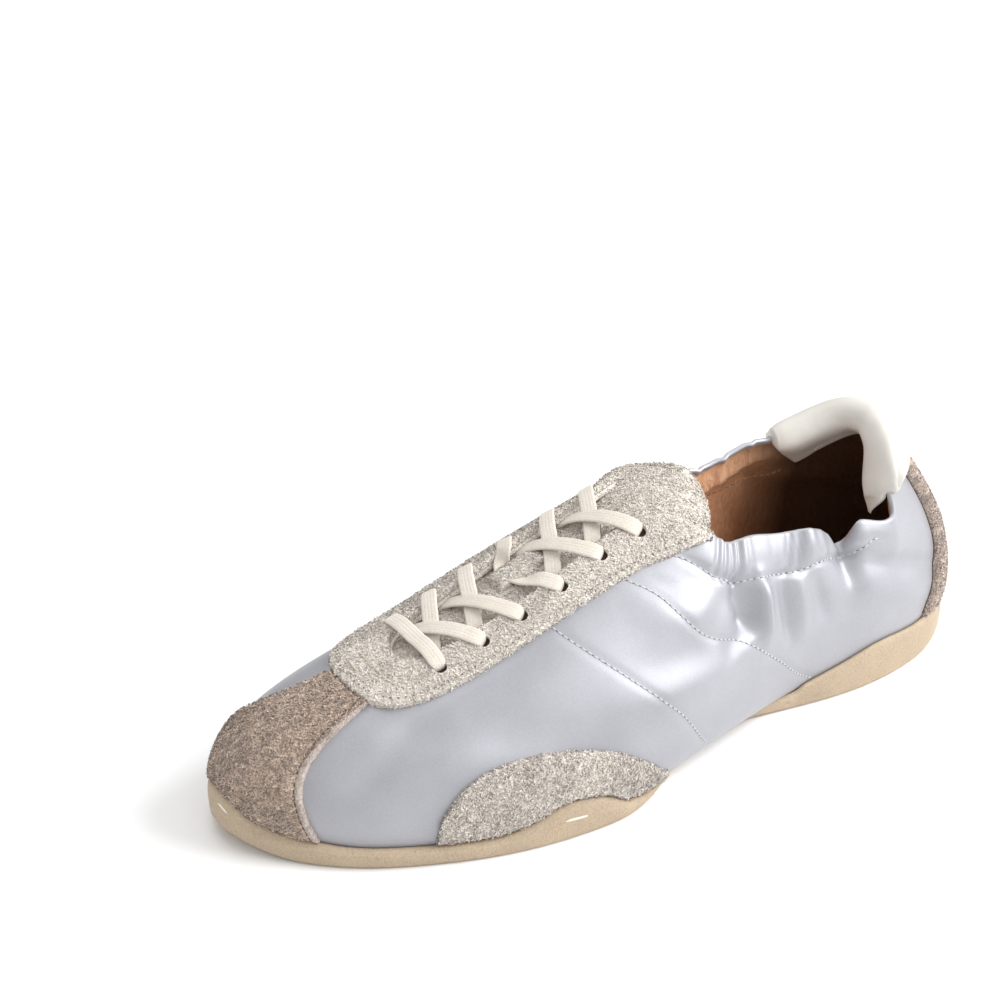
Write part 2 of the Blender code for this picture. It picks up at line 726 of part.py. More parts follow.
def make_laces():
    """The lace's straight bar at the toe end, then crossings from each pair of eyelets to the next."""
    sides = eyelets()
    rest = OVERLAY_GAP + SUEDE + LACE_CLEAR + LACE_THICK / 2

    def over_eyelet(side, k):
        t, v = sides[side][0][k], sides[side][1][k]
        return skin(t, v, rest), normal_at(t, v)

    def over_edge(side, k):
        along = wall(sides[side][0][k], sides[side][1][k])[0]
        t = edge_level(along)
        t = t if side == 0 else ROWS - t
        return skin(t, 1.0, rest), normal_at(t, 1.0)

    def between(a, b, share, lift):
        up = a[1] * (1 - share) + b[1] * share
        up = up / np.linalg.norm(up)
        return a[0] * (1 - share) + b[0] * share + up * lift, up

    edges = [over_edge(0, 0), over_edge(1, 0)]
    bar = [over_eyelet(0, 0), edges[0], edges[1], over_eyelet(1, 0)]
    slab("lace_bar", *strap(bar), "cotton")
    for k in range(len(EYELET_ROWS) - 1):
        name = f"lace_cross_{k + 1}"
        pieces = []
        for side, lift in ((0, CROSS_LIFT), (1, -CROSS_LIFT)):
            near, far = over_edge(side, k + 1), over_edge(1 - side, k)
            start = between(far, near, 0.27, -LACE_DIVE)
            middle = between(far, near, 0.52, lift - LACE_DIVE / 3)
            stops = [start, middle, between(far, near, 0.96, 0.2), over_eyelet(side, k + 1)]
            label = name if side == 0 else name + "_under"
            pieces.append(slab(label, *strap(stops), "cotton"))
        over, under = pieces
        under.hide_render = True
        under.display_type = "WIRE"
        join = over.modifiers.new("crossing", "BOOLEAN")
        join.operation = "UNION"
        join.object = under


def main():
    for old in list(bpy.data.objects):
        bpy.data.objects.remove(old)
    root = bpy.data.objects.new("shoe", None)
    bpy.context.collection.objects.link(root)
    make_outsole()
    make_insole()
    make_upper()
    make_tongue()
    punch(make_eyestay(), eyelets())
    make_toe_cap()
    make_side_patch()
    make_heel_strip()
    make_heel_tab()
    make_laces()


main()
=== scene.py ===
"""Looks of a left ballet sneaker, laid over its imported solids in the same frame.

Sizes are in millimetres in the last's own terms: along is the distance from the back of the heel, side is
across (the outer side is negative) and up is the height above the floor. Round the shoe, t counts the rows
of ROUND, and v runs up the upper from its bottom edge (0) to the edge of its opening (1).
"""

import json
import math
from collections import namedtuple

import bmesh
import bpy
import numpy as np
from mathutils import Matrix, Vector

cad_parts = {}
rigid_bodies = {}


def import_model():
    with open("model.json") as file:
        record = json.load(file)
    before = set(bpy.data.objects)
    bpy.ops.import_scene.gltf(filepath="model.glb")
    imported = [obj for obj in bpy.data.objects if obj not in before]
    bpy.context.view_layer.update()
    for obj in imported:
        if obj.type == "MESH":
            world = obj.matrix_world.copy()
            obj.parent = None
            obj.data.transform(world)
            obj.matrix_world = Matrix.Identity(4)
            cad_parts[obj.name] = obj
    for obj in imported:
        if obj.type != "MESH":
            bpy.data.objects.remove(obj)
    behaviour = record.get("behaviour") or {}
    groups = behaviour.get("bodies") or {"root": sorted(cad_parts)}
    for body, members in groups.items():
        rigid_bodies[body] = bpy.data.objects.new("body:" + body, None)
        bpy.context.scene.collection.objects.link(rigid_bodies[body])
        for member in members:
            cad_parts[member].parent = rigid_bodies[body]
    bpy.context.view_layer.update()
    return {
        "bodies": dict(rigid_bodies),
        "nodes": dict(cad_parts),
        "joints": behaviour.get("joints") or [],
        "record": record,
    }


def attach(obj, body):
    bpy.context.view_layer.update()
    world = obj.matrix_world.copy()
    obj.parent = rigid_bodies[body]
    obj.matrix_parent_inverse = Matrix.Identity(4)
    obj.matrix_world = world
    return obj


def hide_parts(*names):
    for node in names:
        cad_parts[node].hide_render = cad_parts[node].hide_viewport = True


MM = 0.001
LAST_MIDDLE = 118.75
LAST_AXIS = -6.95

WALL = 1.8
MARGIN = 13.0
GAP = 0.3
SUEDE = 1.4
LIP_EDGE = 1.3
LIP_FROM = 1.3
LIP_FADE = 0.4
PAD = 4.8
TONGUE_THICK = 2.0
OVERLAY_GAP = 0.45
LACE_WIDTH = 5.0
LACE_THICK = 1.3
LACE_CLEAR = 0.35
EYELET_RADIUS = 1.9
TUCK_STEP = 0.2
ARC_SAMPLES = 24
NEARBY = 0.02
INWARD = 12.0
CREASE_FADE = 0.3
UP = np.array([0.0, 0.0, 1.0])

# A fade from 0 to 1: where it starts and over how much it runs (backwards where negative).
Fade = namedtuple("Fade", "start run")
GATHERED = Fade(0.45, 0.5)

# One row for each station round the last. top_ columns give the edge of the opening (collar, then throat).
# flare and lean are the wall's angles at the bottom edge and at the opening, low_pull and high_pull how far
# each angle carries. edge is how far the sole stands out from the upper (in, where negative).
Station = namedtuple(
    "Station", "along side top_along top_side top_up flare low_pull lean high_pull edge"
)
ROUND = (
    Station(-6.5, 0, 18.5, 0, 78, 14, 26, 65, 23, 2.6),
    Station(1.5, -16, 22, -11.5, 74, 17, 24, 65, 22, 2.8),
    Station(30, -25.6, 33, -19.5, 57, 24, 17, 66, 15, 2.8),
    Station(61, -26, 58, -21, 58, 30, 17, 64, 15, 1.8),
    Station(95, -33, 82, -21, 63.5, 42, 20, 58, 16, -5.6),
    Station(128, -42.5, 91.5, -20.5, 67, 28, 24, 42, 20, 1.4),
    Station(150, -46.5, 108, -8.5, 72.5, 12, 26, 33, 26, 2.6),
    Station(175, -44, 138, -8.5, 62.5, 8, 24, 29, 25, 2.8),
    Station(200, -36, 165, -8.5, 52.5, 8, 21, 27, 23, 2.8),
    Station(221, -24.5, 182, -7.5, 47.2, 8, 19, 22, 23, 2.8),
    Station(237, -8, 188, -4, 45.4, 12, 20, 15, 28, 3.2),
    Station(244, 6, 189.5, 2, 44.9, 14, 21, 13, 29, 2.6),
    Station(238, 19, 188, 7, 45.6, 18, 23, 14, 28, 2.6),
    Station(221, 28.5, 182, 10.5, 47.6, 20, 25, 19, 24, 2.6),
    Station(198, 32.5, 165, 11.5, 53.4, 17, 25, 23, 24, 2.6),
    Station(172, 31, 138, 12, 63.6, 16, 25, 25, 25, 2.4),
    Station(145, 25, 108, 12, 73.5, 23, 27, 29, 26, 1.6),
    Station(118, 18.5, 94, 22, 69.5, 38, 26, 42, 20, -3.6),
    Station(90, 18.5, 80, 22.5, 66, 42, 22, 58, 16, -5.6),
    Station(61, 24, 59, 21, 66.5, 30, 18, 64, 15, 1.8),
    Station(30, 25.6, 38, 18, 69.5, 24, 18, 66, 17, 2.8),
    Station(1.5, 16, 23, 11, 76, 17, 24, 65, 22, 2.8),
)
COLUMNS = Station._fields
ROWS = len(ROUND)
TOE = ROWS // 2

# Gathers of the elastic collar: where they are, how wide, how far they push out, lift the edge and slide it
# towards the heel.
Fold = namedtuple("Fold", "along width push rise back")
OUTER_FOLDS = (
    Fold(86.0, 6.5, 0.0, -1.8, 0.0),
    Fold(70.0, 7.0, 0.0, -0.6, 0.0),
    Fold(57.5, 4.6, 2.0, 1.6, 0.0),
    Fold(43.2, 4.8, -1.8, -7.3, -0.6),
    Fold(37.6, 2.9, 1.6, 3.4, -2.0),
    Fold(31.2, 5.2, 4.0, -3.9, 4.8),
)
INNER_FOLDS = (
    Fold(84.0, 3.8, 0.8, 0.3, 0.0),
    Fold(74.0, 4.2, -0.8, -0.4, 0.0),
    Fold(67.0, 6.0, 0.0, -1.6, 0.0),
    Fold(50.0, 6.0, 0.0, 1.8, 0.0),
)

# Small pleats of the collar's channel: troughs that lean with depth, and how deep and wide they are.
Pleat = namedtuple("Pleat", "along width depth slant")
OUTER_PLEATS = (
    Pleat(91.0, 0.7, -0.9, 0.05),
    Pleat(88.6, 0.8, -1.2, 0.02),
    Pleat(86.2, 0.8, -1.3, 0.0),
    Pleat(83.4, 0.9, -1.5, -0.05),
    Pleat(79.8, 1.0, -0.5, -0.05),
    Pleat(71.0, 1.6, -0.4, -0.1),
    Pleat(64.6, 1.2, -1.1, -0.25),
    Pleat(61.4, 1.1, -0.9, -0.2),
    Pleat(55.0, 1.4, -0.7, -0.1),
    Pleat(50.5, 1.3, -0.6, 0.1),
    Pleat(43.5, 1.2, -0.8, 0.1),
    Pleat(36.2, 1.2, -0.7, 0.1),
)
INNER_PLEATS = (
    Pleat(92.0, 0.9, -0.9, 0.05),
    Pleat(88.0, 1.0, -1.1, 0.0),
    Pleat(80.0, 1.2, -0.9, -0.1),
    Pleat(69.5, 1.3, -0.9, -0.1),
    Pleat(60.0, 1.2, -0.8, 0.1),
    Pleat(50.0, 1.2, -0.7, 0.1),
)

# Soft creases of the satin, each a line in (along, up) with its width and height (trough where negative).
Crease = namedtuple("Crease", "along up to_along to_up width height")
OUTER_CREASES = (
    Crease(88.0, 53, 86.5, 39, 3.8, -4.4),
    Crease(87.0, 41, 99.0, 37, 4.0, -1.4),
    Crease(95.0, 53, 104.0, 44, 4.6, -0.7),
    Crease(79.0, 51, 81.0, 33, 2.8, 3.5),
    Crease(70.8, 48, 70.0, 30, 2.0, -1.9),
    Crease(64.5, 47, 64.5, 29, 3.0, 1.7),
    Crease(58.5, 46, 55.0, 32, 2.4, -1.3),
    Crease(137.0, 34, 90.0, 31, 5.8, 0.9),
    Crease(131.0, 42, 102.0, 41, 5.6, -0.8),
    Crease(44.0, 47.5, 4.0, 31, 3.2, -1.4),
    Crease(48.0, 39, 8.0, 24, 4.6, 1.2),
    Crease(116.0, 60, 96.0, 57, 3.4, -0.7),
    Crease(123.0, 54, 101.0, 50, 4.4, 0.7),
    Crease(222.0, 23.5, 192.0, 36.5, 4.6, -1.0),
    Crease(208.0, 23, 178.0, 32, 5.0, 0.8),
    Crease(189.0, 40, 161.0, 48.5, 3.6, -0.7),
    Crease(200.0, 36, 158.0, 30, 5.0, -0.5),
    Crease(196.0, 27, 160.0, 22, 5.0, 0.5),
)
INNER_CREASES = (
    Crease(90.0, 56, 92.0, 40, 3.0, -1.6),
    Crease(81.0, 55, 82.0, 38, 3.6, 1.2),
    Crease(71.0, 54, 70.0, 36, 2.8, -1.3),
    Crease(62.0, 54, 60.0, 36, 3.8, 1.0),
    Crease(52.0, 54, 46.0, 38, 3.0, -1.0),
    Crease(128.0, 34, 96.0, 30, 4.6, 0.9),
    Crease(124.0, 42, 100.0, 42, 4.6, -0.8),
    Crease(44.0, 56, 8.0, 46, 3.2, -0.9),
    Crease(46.0, 46, 14.0, 38, 5.0, 0.7),
)

# Heights along the shoe: the tread lifts at the back of the heel, at the arch and at the toe.
HEEL_BACK = -9.0
HEEL_FLAT = (14.0, 64.0)
FOREFOOT_FLAT = (146.0, 229.0)
HEEL_ROLL = 9.0
ARCH_RISE = 2.2
TOE_SPRING = 6.0
TREAD_END = 247.0
TREAD_ROUND = 1.6
Level = namedtuple("Level", "along up")
PLATE = (
    Level(-8, 10.4),
    Level(36, 8.0),
    Level(55, 6.8),
    Level(75, 5.4),
    Level(100, 5.0),
    Level(130, 4.6),
    Level(160, 4.5),
    Level(205, 4.8),
    Level(228, 6.0),
    Level(244, 9.6),
    Level(256, 13.0),
)

Slice = namedtuple("Slice", "along side up half drop")
TONGUE = (
    Slice(202, 2.0, 37.8, 10.0, 3.4),
    Slice(192, 2.0, 41.4, 13.0, 4.6),
    Slice(183, 2.0, 45.0, 15.0, 5.6),
    Slice(165, 2.0, 51.3, 16.5, 6.4),
    Slice(138, 2.0, 61.4, 17.5, 8.0),
    Slice(108, 2.0, 71.8, 18.0, 10.4),
    Slice(98, 1.6, 75.4, 18.0, 11.4),
    Slice(88, 1.2, 78.4, 16.5, 10.4),
)

# How far the sole's wall climbs the upper, round the shoe, with the wave at the outer ball.
Band = namedtuple("Band", "row width")
LIP = (
    Band(0.0, 6.0),
    Band(1.0, 4.8),
    Band(1.4, 4.6),
    Band(2.15, 7.2),
    Band(2.55, 4.4),
    Band(2.9, 2.4),
    Band(3.3, 1.0),
    Band(3.7, 0.0),
    Band(5.1, 0.0),
    Band(5.5, 1.2),
    Band(5.9, 5.6),
    Band(6.25, 7.4),
    Band(6.55, 7.2),
    Band(6.85, 3.8),
    Band(7.2, 1.8),
    Band(7.7, 1.3),
    Band(9.4, 1.2),
    Band(10.1, 2.2),
    Band(11.0, 7.0),
    Band(11.8, 5.0),
    Band(12.6, 1.6),
    Band(15.4, 1.4),
    Band(16.2, 0.8),
    Band(16.6, 0.0),
    Band(18.4, 0.0),
    Band(18.7, 1.0),
    Band(19.1, 2.4),
    Band(19.45, 4.4),
    Band(19.85, 7.2),
    Band(20.6, 4.6),
    Band(21.0, 4.8),
    Band(22.0, 6.0),
)

# Overlays, as distances on the upper: from its bottom edge (low) or from the edge of its opening (high).
EYESTAY = (
    Band(5.12, 1.6),
    Band(5.4, 7.5),
    Band(5.7, 13.5),
    Band(6.1, 18.0),
    Band(7.2, 16.8),
    Band(8.3, 18.2),
    Band(9.0, 18.4),
    Band(10.0, 18.0),
    Band(11.0, 17.2),
    Band(12.0, 18.0),
    Band(13.0, 18.4),
    Band(13.7, 18.2),
    Band(14.8, 16.8),
    Band(15.9, 18.0),
    Band(16.3, 13.5),
    Band(16.6, 7.5),
    Band(16.88, 1.6),
)
EYELET_ROWS = (
    Band(8.58, 8.0),
    Band(7.93, 7.0),
    Band(7.45, 6.2),
    Band(6.98, 6.2),
    Band(6.53, 6.2),
    Band(6.09, 5.4),
)
Wing = namedtuple("Wing", "share outer inner")
TOE_CAP = (
    Wing(0.0, 9.3, 12.6),
    Wing(0.2, 9.52, 12.44),
    Wing(0.34, 9.66, 12.26),
    Wing(0.5, 9.76, 12.0),
    Wing(0.68, 9.8, 11.74),
    Wing(0.85, 9.78, 11.62),
    Wing(1.0, 9.74, 11.6),
)
PATCH = (
    Band(4.86, 3.0),
    Band(5.22, 10.4),
    Band(5.6, 15.6),
    Band(6.0, 19.6),
    Band(6.65, 23.6),
    Band(7.25, 23.4),
    Band(7.64, 18.6),
    Band(7.86, 10.6),
    Band(7.92, 3.0),
)
Span = namedtuple("Span", "share half thick")
HEEL_STRIP = (
    Span(0.0, 1.36, 1.6),
    Span(0.18, 1.24, 2.0),
    Span(0.34, 0.98, 2.6),
    Span(0.5, 0.8, 3.3),
    Span(0.7, 0.7, 3.4),
    Span(0.88, 0.78, 3.2),
    Span(1.0, 1.05, 3.2),
)
Flap = namedtuple("Flap", "row outside inside")
HEEL_TAB = (
    Flap(-2.25, 2.6, 14.0),
    Flap(-1.6, 5.6, 12.4),
    Flap(-1.1, 10.6, 10.6),
    Flap(-0.4, 13.4, 7.4),
    Flap(0.2, 13.4, 7.0),
    Flap(0.7, 10.4, 7.4),
    Flap(1.2, 6.4, 6.4),
    Flap(1.45, 3.8, 4.4),
    Flap(1.62, 1.8, 2.4),
)
TAB_EDGE = 1.4

# Sewn lines: two seams down each side, as heights above the bottom edge, and the channels of the collar and
# the seam of the lining, as depths below the collar's edge.
FRONT_SEAM = (
    Band(4.34, 5.0),
    Band(4.88, 21.6),
    Band(5.4, 31.7),
    Band(5.88, 40.1),
    Band(6.36, 49.1),
    Band(6.7, 56.0),
    Band(7.04, 63.5),
)
REAR_SEAM = (
    Band(2.9, 3.0),
    Band(3.12, 8.4),
    Band(3.48, 19.3),
    Band(3.76, 26.6),
    Band(4.1, 34.5),
    Band(4.62, 42.3),
    Band(5.06, 50.2),
    Band(5.4, 57.5),
    Band(5.72, 64.9),
    Band(6.24, 73.5),
)
CHANNEL_ENDS = (2.1, 5.72)
OUTER_CHANNEL = (
    Band(2.0, 4.6),
    Band(2.13, 5.4),
    Band(2.22, 8.0),
    Band(2.32, 6.2),
    Band(2.42, 3.6),
    Band(2.52, 3.8),
    Band(2.62, 6.2),
    Band(2.75, 8.4),
    Band(2.9, 10.0),
    Band(3.1, 11.3),
    Band(3.4, 11.7),
    Band(4.08, 11.9),
    Band(4.42, 10.9),
    Band(5.16, 11.6),
    Band(5.72, 12.5),
)
INNER_CHANNEL = (
    Band(2.0, 4.6),
    Band(2.58, 7.0),
    Band(3.08, 10.4),
    Band(3.4, 12.0),
    Band(4.08, 12.6),
    Band(5.16, 11.6),
    Band(5.72, 12.5),
)
LINING_SEAM = (
    Band(2.0, 15.0),
    Band(2.6, 15.5),
    Band(3.4, 17.0),
    Band(4.1, 17.0),
    Band(5.2, 15.0),
)


def smooth_step(x):
    x = np.clip(x, 0.0, 1.0)
    return x * x * (3.0 - 2.0 * x)


def faded(x, fade):
    return smooth_step((x - fade.start) / fade.run)


def bell(x, width):
    """1 at nothing, falling away over a width to both sides."""
    return np.exp(-((x / width) ** 2))


def unit(vectors):
    return vectors / np.linalg.norm(vectors, axis=-1, keepdims=True)


def paired(t, v):
    """Two sets of numbers as arrays of one shape."""
    return np.broadcast_arrays(np.asarray(t, float), np.asarray(v, float))


def runs_along(points, axis=0):
    """Distance of each point of a line or grid from the first one on the same row."""
    steps = np.linalg.norm(np.diff(points, axis=axis), axis=-1)
    lead = np.zeros_like(np.take(steps, [0], axis=axis))
    return np.concatenate([lead, np.cumsum(steps, axis=axis)], axis=axis)


def curve_through(places, values, at):
    """A smooth curve through (place, value) rows, with level ends, read at given places."""
    places = np.asarray(places, float)
    values = np.asarray(values, float)
    slopes = np.gradient(values, places, axis=0)
    at = np.clip(np.asarray(at, float), places[0], places[-1])
    i = np.clip(np.searchsorted(places, at, side="right") - 1, 0, len(places) - 2)
    step = places[i + 1] - places[i]
    u = (at - places[i]) / step
    if values.ndim == 2:
        u = u[..., None]
        step = step[..., None]
    low = values[i] * (1 + 2 * u) * (1 - u) ** 2 + slopes[i] * step * u * (1 - u) ** 2
    high = values[i + 1] * u * u * (3 - 2 * u) + slopes[i + 1] * step * u * u * (u - 1)
    return low + high


def band(table, t):
    """The width column of a table of bands at t."""
    return curve_through([b.row for b in table], [b.width for b in table], t)


def ring_bends(values):
    """Second differences of the closed smooth curve through the rows of ROUND."""
    n = len(values)
    weights = 4 * np.eye(n) + np.roll(np.eye(n), 1, axis=1) + np.roll(np.eye(n), -1, axis=1)
    rises = np.roll(values, 1, axis=0) - 2 * values + np.roll(values, -1, axis=0)
    return np.linalg.solve(weights, 6 * rises)


ROUND_VALUES = np.array(ROUND, float)
ROUND_BENDS = ring_bends(ROUND_VALUES)


def station(t):
    """The columns of ROUND at t, counted in rows round the shoe, as a dict of arrays."""
    t = np.asarray(t, float) % ROWS
    i = np.floor(t).astype(int) % ROWS
    j = (i + 1) % ROWS
    u = (t - np.floor(t))[..., None]
    w = 1 - u
    bend = (w**3 - w) * ROUND_BENDS[i] + (u**3 - u) * ROUND_BENDS[j]
    row = w * ROUND_VALUES[i] + u * ROUND_VALUES[j] + bend / 6
    return {name: row[..., k] for k, name in enumerate(COLUMNS)}


def plate(along):
    """Height of the sole's top, where the upper's bottom edge stands."""
    return curve_through([p.along for p in PLATE], [p.up for p in PLATE], along)


def tread(along):
    """Height of the sole's underside: flat under heel and forefoot, lifted elsewhere."""
    along = np.asarray(along, float)
    back = HEEL_ROLL * np.clip((HEEL_FLAT[0] - along) / (HEEL_FLAT[0] - HEEL_BACK), 0, None) ** 2
    waist = np.clip((along - HEEL_FLAT[1]) / (FOREFOOT_FLAT[0] - HEEL_FLAT[1]), 0, 1)
    arch = ARCH_RISE * np.sin(math.pi * waist) ** 2
    front = np.clip((along - FOREFOOT_FLAT[1]) / (TREAD_END - FOREFOOT_FLAT[1]), 0, None)
    return back + arch + TOE_SPRING * front**2


def feather(t):
    """The upper's bottom edge, and the direction that points straight out of the shoe there."""
    row = station(t)
    point = np.stack([row["along"], row["side"], plate(row["along"])], -1)
    ahead, behind = station(np.asarray(t) + 0.01), station(np.asarray(t) - 0.01)
    across, back = ahead["side"] - behind["side"], behind["along"] - ahead["along"]
    return point, unit(np.stack([across, back, 0 * back], -1)), row


def gather(along, t):
    """Push, rise and slide of the collar's gathers at stations along the collar."""
    moves = np.zeros((3,) + np.shape(along))
    outer = (t % ROWS) < TOE
    for side, folds in ((outer, OUTER_FOLDS), (~outer, INNER_FOLDS)):
        for fold in folds:
            bump = bell(along - fold.along, fold.width) * side
            moves += np.multiply.outer((fold.push, fold.rise, fold.back), bump)
    return moves


def wall(t, v):
    """A point of the upper's outer face, before its creases."""
    t, v = paired(t, v)
    foot, out, row = feather(t)
    top = np.stack([row["top_along"], row["top_side"], row["top_up"]], -1)
    heading = unit((top - foot) * (1 - UP) - INWARD * out)
    flare, lean = np.radians(row["flare"])[..., None], np.radians(row["lean"])[..., None]
    low = foot + row["low_pull"][..., None] * (out * np.sin(flare) + UP * np.cos(flare))
    high = top - row["high_pull"][..., None] * (heading * np.cos(lean) + UP * np.sin(lean))
    s = v[..., None]
    point = (1 - s) ** 3 * foot + 3 * s * (1 - s) ** 2 * low + 3 * s * s * (1 - s) * high + s**3 * top
    push, rise, back = gather(row["top_along"], t) * faded(v, GATHERED)
    return point + push[..., None] * out + np.stack([-back, 0 * back, rise], -1)


def normal(t, v):
    """The direction straight out of the upper's outer face."""
    t, v = paired(t, v)
    round_way = wall(t + NEARBY, v) - wall(t - NEARBY, v)
    up_way = wall(t, np.clip(v + NEARBY, 0, 1)) - wall(t, np.clip(v - NEARBY, 0, 1))
    return unit(np.cross(round_way, up_way))


def skin(t, v, offset):
    """A point offset mm outside the upper's outer face (inside where offset is negative)."""
    return wall(t, v) + normal(t, v) * np.asarray(offset)[..., None]


def climb(t, distance, from_top=False):
    """The v that lies a given distance up the wall from its bottom edge, or down from its opening."""
    t, distance = paired(t, distance)
    samples = np.linspace(0, 1, ARC_SAMPLES + 1)
    runs = runs_along(wall(t[..., None], samples), t.ndim)
    wanted = runs[..., -1] - distance if from_top else distance
    flat_runs, flat_wanted = runs.reshape(-1, ARC_SAMPLES + 1), np.ravel(wanted)
    found = [np.interp(w, r, samples) for w, r in zip(flat_wanted, flat_runs)]
    return np.array(found).reshape(t.shape)


def creased(place, creases):
    """Height of soft troughs and ridges at (along, up) places."""
    total = np.zeros(place.shape[:-1])
    for c in creases:
        start = np.array([c.along, c.up], float)
        way = np.array([c.to_along, c.to_up], float) - start
        length = np.linalg.norm(way)
        way /= length
        run = (place - start) @ way
        off = (place - start) @ np.array([-way[1], way[0]])
        fade = CREASE_FADE * length
        ends = smooth_step((run + fade) / (2 * fade)) * smooth_step((length + fade - run) / (2 * fade))
        total += c.height * bell(off, c.width) * ends
    return total


def mirrored(t):
    """The outer side's t for a place on either side."""
    t = np.asarray(t, float) % ROWS
    return np.where(t > TOE, ROWS - t, t)


def side_rows(first, last, inner, count):
    """Rows of the outer side from first to last, or the same rows of the inner side."""
    t = np.linspace(first, last, count)
    return np.where(inner, ROWS - t, t)


def seam_line(table, inner, count=120, from_top=False):
    """(t, v) along a sewn seam of one side."""
    t = side_rows(table[0].row, table[-1].row, inner, count)
    return t, climb(t, band(table, mirrored(t)), from_top)


def channel_depth(t):
    """How far below the collar's edge its sewn channel runs."""
    inner = (np.asarray(t, float) % ROWS) > TOE
    row = mirrored(t)
    return np.where(inner, band(INNER_CHANNEL, row), band(OUTER_CHANNEL, row))


def channel_line(inner, count=200):
    t = side_rows(*CHANNEL_ENDS, inner, count)
    return t, climb(t, channel_depth(t), True)


def groove(place, line, width):
    """1 on a sewn line given as (along, up) points, fading over its width."""
    nearest = np.full(place.shape[:-1], 1e9)
    for a, b in zip(line[:-1], line[1:]):
        way = b - a
        share = np.clip(((place - a) @ way) / (way @ way), 0, 1)
        nearest = np.minimum(nearest, np.linalg.norm(place - a - share[..., None] * way, axis=-1))
    return bell(nearest, width)


SEAM_GROOVES = {
    inner: [wall(*seam_line(table, inner, 14))[:, ::2] for table in (FRONT_SEAM, REAR_SEAM)]
    for inner in (False, True)
}
SEAM_DEPTH = 0.35
SEAM_WIDTH = 0.9
CHANNEL_PUFF = 0.6
CHANNEL_DEPTH = 0.7
CHANNEL_WIDTH = 1.1

# Where the relief comes in and goes: by rows, by mm below the opening's edge or the channel, and at the
# hem by its share of the wall.
CHANNEL_BACK = Fade(1.9, 0.5)
CHANNEL_FRONT = Fade(5.9, -0.5)
CHANNEL_FLOOR = Fade(-1.0, 3.0)
BELOW_EDGE = Fade(2.0, 8.0)
ABOVE_HEM = Fade(0.0, 0.12)
STAY_ROWS = Fade(5.2, 0.6)
STAY_DROP = Fade(24.0, -6.0)
CAP_ROWS = Fade(8.6, 0.8)
STRIP_ROWS = Fade(0.6, 0.8)


def relief(t, v):
    """How far the satin stands out of its smooth form: creases, pleats, the sewn channel and seams."""
    t, v = paired(t, v)
    point, top = wall(t, v), wall(t, 1.0)
    place = point[..., ::2]
    drop = np.linalg.norm(top - point, axis=-1)
    inner = (t % ROWS) > TOE
    row = mirrored(t)
    depth = channel_depth(t)
    within = faded(row, CHANNEL_BACK) * faded(row, CHANNEL_FRONT)
    pleated = within * (1 - faded(drop - depth, CHANNEL_FLOOR))
    free = faded(drop, BELOW_EDGE)
    total = np.zeros(t.shape)
    sides = ((~inner, OUTER_CREASES, OUTER_PLEATS), (inner, INNER_CREASES, INNER_PLEATS))
    for side, creases, pleats in sides:
        total += side * free * creased(place, creases)
        for p in pleats:
            off = top[..., 0] + p.slant * drop - p.along
            total += side * pleated * p.depth * bell(off, p.width)
    share = np.clip(drop / depth, 0, 1)
    total += within * CHANNEL_PUFF * np.sin(math.pi * share) * (drop < depth)
    total -= within * CHANNEL_DEPTH * bell(drop - depth, CHANNEL_WIDTH)
    for side, lines in SEAM_GROOVES.items():
        for line in lines:
            total -= (inner == side) * SEAM_DEPTH * groove(place, line, SEAM_WIDTH)
    bare = (1 - faded(row, STAY_ROWS) * faded(drop, STAY_DROP)) * (1 - faded(row, CAP_ROWS))
    return total * faded(v, ABOVE_HEM) * bare * faded(row, STRIP_ROWS)


def coat(t, v, offset):
    """A point offset mm outside the creased satin."""
    return skin(t, v, np.asarray(offset) + relief(t, v))


def lip(t):
    """How far up the wall the sole's lip reaches, in mm."""
    height = np.clip(band(LIP, np.asarray(t, float) % ROWS), 0, None)
    return height * smooth_step((station(t)["edge"] - LIP_FROM) / LIP_FADE)


def lip_v(t):
    return climb(t, lip(t))


def eyestay_low(t):
    """The v of the eyestay's outer edge."""
    return climb(t, band(EYESTAY, t), True)


def tab_reach(t):
    """How far the heel tab's outer and inner flaps hang from the edge of the collar."""
    rows = np.array(HEEL_TAB, float)
    flaps = curve_through(rows[:, 0], rows, t)
    return flaps[..., 1], flaps[..., 2]


def to_world(points):
    """Last terms in millimetres to metres: the toe points to -X, the outer side to -Y."""
    p = np.asarray(points, float)
    return np.stack([LAST_MIDDLE - p[..., 0], p[..., 1] - LAST_AXIS, p[..., 2]], -1) * MM


def lattice(rows, cols, wrap=False):
    """Quads of a grid of points, joined round where it wraps."""
    a = np.arange(rows - 1)[:, None] * cols
    b = np.arange(cols if wrap else cols - 1)[None, :]
    c = (b + 1) % cols
    return np.stack([a + b, a + c, a + cols + c, a + cols + b], -1).reshape(-1, 4)


def crowded(cells, crowd=0.75):
    """Shares from 0 to 1 that lie closer together near both ends."""
    x = np.linspace(0, 1, cells + 1)
    return x - crowd * np.sin(2 * math.pi * x) / (2 * math.pi)


def put(name, data):
    """A new object of the scene."""
    made = bpy.data.objects.new(name, data)
    bpy.context.collection.objects.link(made)
    return made


def add_piece(name, points, faces, finishes, places=None, replaces=()):
    """One piece of the looks, from points in last terms; places gives each face's finish."""
    mesh = bpy.data.meshes.new(name)
    mesh.from_pydata(to_world(points).reshape(-1, 3).tolist(), [], [tuple(f) for f in faces])
    for finish in finishes:
        mesh.materials.append(finish)
    if places is not None:
        mesh.polygons.foreach_set("material_index", np.asarray(places, np.int32))
    shell = bmesh.new()
    shell.from_mesh(mesh)
    bmesh.ops.recalc_face_normals(shell, faces=shell.faces)
    shell.to_mesh(mesh)
    shell.free()
    mesh.shade_smooth()
    made = put(name, mesh)
    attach(made, "root")
    if replaces:
        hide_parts(*replaces)
    return made


